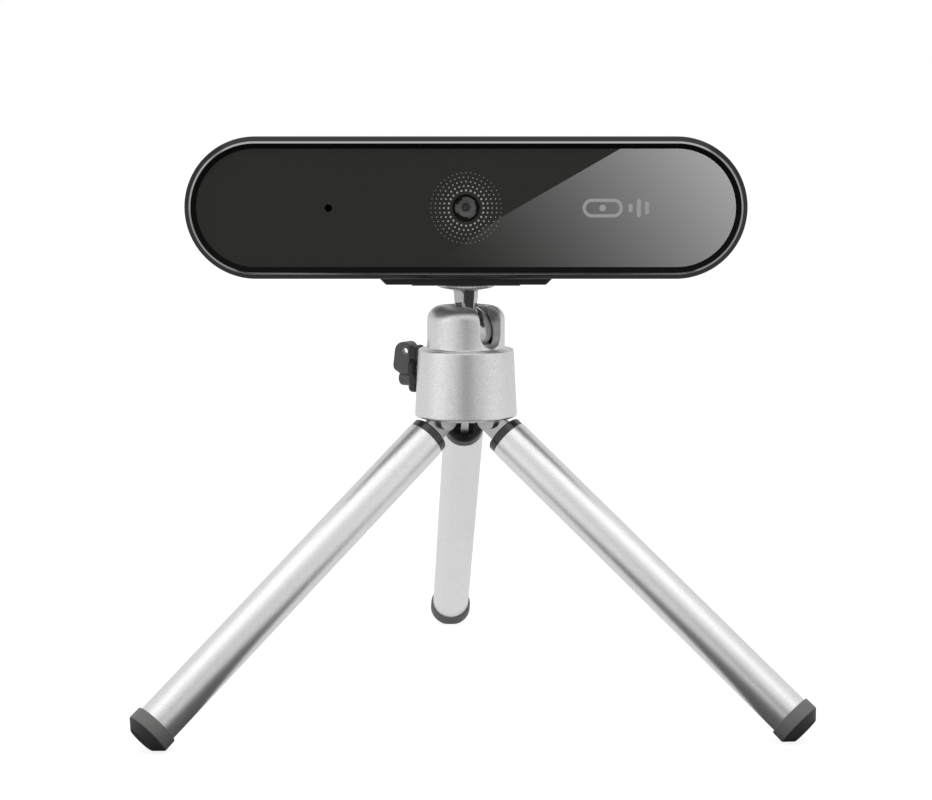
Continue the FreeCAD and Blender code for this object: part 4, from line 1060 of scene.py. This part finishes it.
# %% Helpers: cards for gloss
def gloss_card(name, corners, material):
    """A flat stage card from its corners, in metres, seen only in reflections."""
    shape = bmesh.new()
    shape.faces.new([shape.verts.new(corner) for corner in corners])
    mesh = as_mesh(shape, name)
    mesh.materials.append(material)
    made = bpy.data.objects.new(name, mesh)
    bpy.context.collection.objects.link(made)
    for ray in ("camera", "diffuse", "transmission", "volume_scatter", "shadow"):
        setattr(made, f"visible_{ray}", False)
    made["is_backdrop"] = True
    return made


def emission_material(name, level):
    """A material that only glows; level is a function of its tree that returns a number or socket."""
    made = bpy.data.materials.new(name)
    made.use_nodes = True
    tree = made.node_tree
    tree.nodes.clear()
    lamp = add(tree, "ShaderNodeEmission", Strength=level(tree)).outputs[0]
    tree.links.new(lamp, add(tree, "ShaderNodeOutputMaterial").inputs[0])
    return made


print("card helpers ready")

# %% [markdown]
# Dark flags put a soft dark line into polished metal, which shows its roundness. One stands
# behind the viewer, one lies on the floor in front of the tripod, and one lies further right,
# where the stem's middle facet mirrors it.

# %% Dark flags
flag_black = emission_material("flag black", lambda tree: 0.07)
VIEW_AWAY, VIEW_HEIGHT, VIEW_DOWN, VIEW_LENS = 0.440, 0.1161, 7.06, 84.98
view_point = Vector((axis_x * MM, axis_y * MM - VIEW_AWAY, VIEW_HEIGHT))
FLAG_HALF, FLAG_TOP, FLAG_BEHIND = 0.16, 0.30, 0.14
MAT_HALF, MAT_NEAR, MAT_FAR, MAT_LIFT = 0.08, -0.22, -0.040, 0.0004
SIDE_TURN, SIDE_HALF, SIDE_NEAR, SIDE_FAR = math.radians(-62), math.radians(10), 0.225, 0.48

flag_y = view_point.y - FLAG_BEHIND
gloss_card("flag_behind", [
    (view_point.x + x, flag_y, z) for x, z in
    ((-FLAG_HALF, 0.0), (FLAG_HALF, 0.0), (FLAG_HALF, FLAG_TOP), (-FLAG_HALF, FLAG_TOP))], flag_black)
gloss_card("flag_below", [
    (view_point.x + x, y, MAT_LIFT) for x, y in
    ((-MAT_HALF, MAT_NEAR), (MAT_HALF, MAT_NEAR), (MAT_HALF, MAT_FAR), (-MAT_HALF, MAT_FAR))], flag_black)
side_corners = ((SIDE_NEAR, -SIDE_HALF), (SIDE_FAR, -SIDE_HALF), (SIDE_FAR, SIDE_HALF), (SIDE_NEAR, SIDE_HALF))
gloss_card("flag_beside", [
    (axis_x * MM + reach * math.cos(SIDE_TURN + turn), axis_y * MM + reach * math.sin(SIDE_TURN + turn),
     2 * MAT_LIFT) for reach, turn in side_corners], flag_black)
print("three flags, the upright one", round(view_point.y - flag_y, 2), "m behind the viewer")

# %% [markdown]
# The panel is almost a mirror, so what it shows is set by a card. The card's corners are found
# by sending a line from the viewer to the panel and mirroring it there, so the card's edge
# falls just where it should on the panel. It is bright at the upper right and fades away from
# there, and light linking keeps its light off everything but the panel.

# %% Helper: mirrored place
CARD_AWAY = 0.50
panel_y = (front_y + PANEL_SINK) * MM
mirror_stretch = CARD_AWAY / (panel_y - view_point.y)


def seen_in_panel(x, z):
    """Where a card must be for the viewer to see it at x, z on the panel, in mm from the lens."""
    spot = Vector((axis_x + x, 0.0, centre_z + z)) * MM
    ray = spot - view_point
    return Vector((spot.x + ray.x * mirror_stretch, panel_y - CARD_AWAY, spot.z + ray.z * mirror_stretch))


card_middle = seen_in_panel(0, 0)
print("card's middle at", tuple(round(c, 3) for c in card_middle))

# %% [markdown]
# The card's brightness is a sloping plane, held above a low floor and squared, so it fades
# quickly at first and then slowly.

# %% Reflected card
RISE_RIGHT, RISE_UP, RISE_START, DIMMEST = 20.95, 16.59, 0.83, 0.3
CARD_EDGE = ((-7.0, -12.0), (-5.1, -10.1), (6.6, -1.9), (29.6, 11.3), (33.0, 13.4), (60.0, 13.4), (60.0, -12.0))


def card_level(tree):
    """Brightness that grows to the right and upward from the card's middle."""
    spot = add(tree, "ShaderNodeTexCoord").outputs["Object"]
    axes = add(tree, "ShaderNodeSeparateXYZ", Vector=spot).outputs
    rise = value_math(tree, "ADD", value_math(tree, "MULTIPLY", axes["X"], RISE_RIGHT),
                      value_math(tree, "MULTIPLY", axes["Z"], RISE_UP))
    held = value_math(tree, "MAXIMUM", value_math(tree, "ADD", rise, RISE_START), DIMMEST)
    return value_math(tree, "POWER", held, 2.0)


card = gloss_card("card", [seen_in_panel(x, z) - card_middle for x, z in CARD_EDGE],
                  emission_material("card", card_level))
card.location = card_middle
mirrors = bpy.data.collections.new("mirrors")
mirrors.objects.link(panel)
card.light_linking.receiver_collection = mirrors
print("card", [tuple(round(c, 3) for c in corner.co) for corner in card.data.vertices][:3])

# %% [markdown]
# ## Camera and output
#
# The camera stands a short arm's length in front of the tripod's axis, a little above the
# webcam's middle, and looks slightly down. A long lens keeps the shape from stretching.

# %% Camera
viewer = bpy.data.objects.new("viewer", bpy.data.cameras.new("viewer"))
bpy.context.collection.objects.link(viewer)
viewer.location = view_point
viewer.rotation_euler = (math.radians(90 - VIEW_DOWN), 0, 0)
viewer.data.lens = VIEW_LENS
viewer.data.sensor_width = 36.0
bpy.context.scene.camera = viewer
bpy.context.scene.view_settings.view_transform = "Standard"
print(f"camera at {tuple(round(c, 4) for c in viewer.location)}")

# %% Sizes and finish
visual_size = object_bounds()
for label, (low, high) in (("CAD", cad_size), ("visual", visual_size)):
    print(label, [round((b - a) / MM, 2) for a, b in zip(low, high)], "mm")
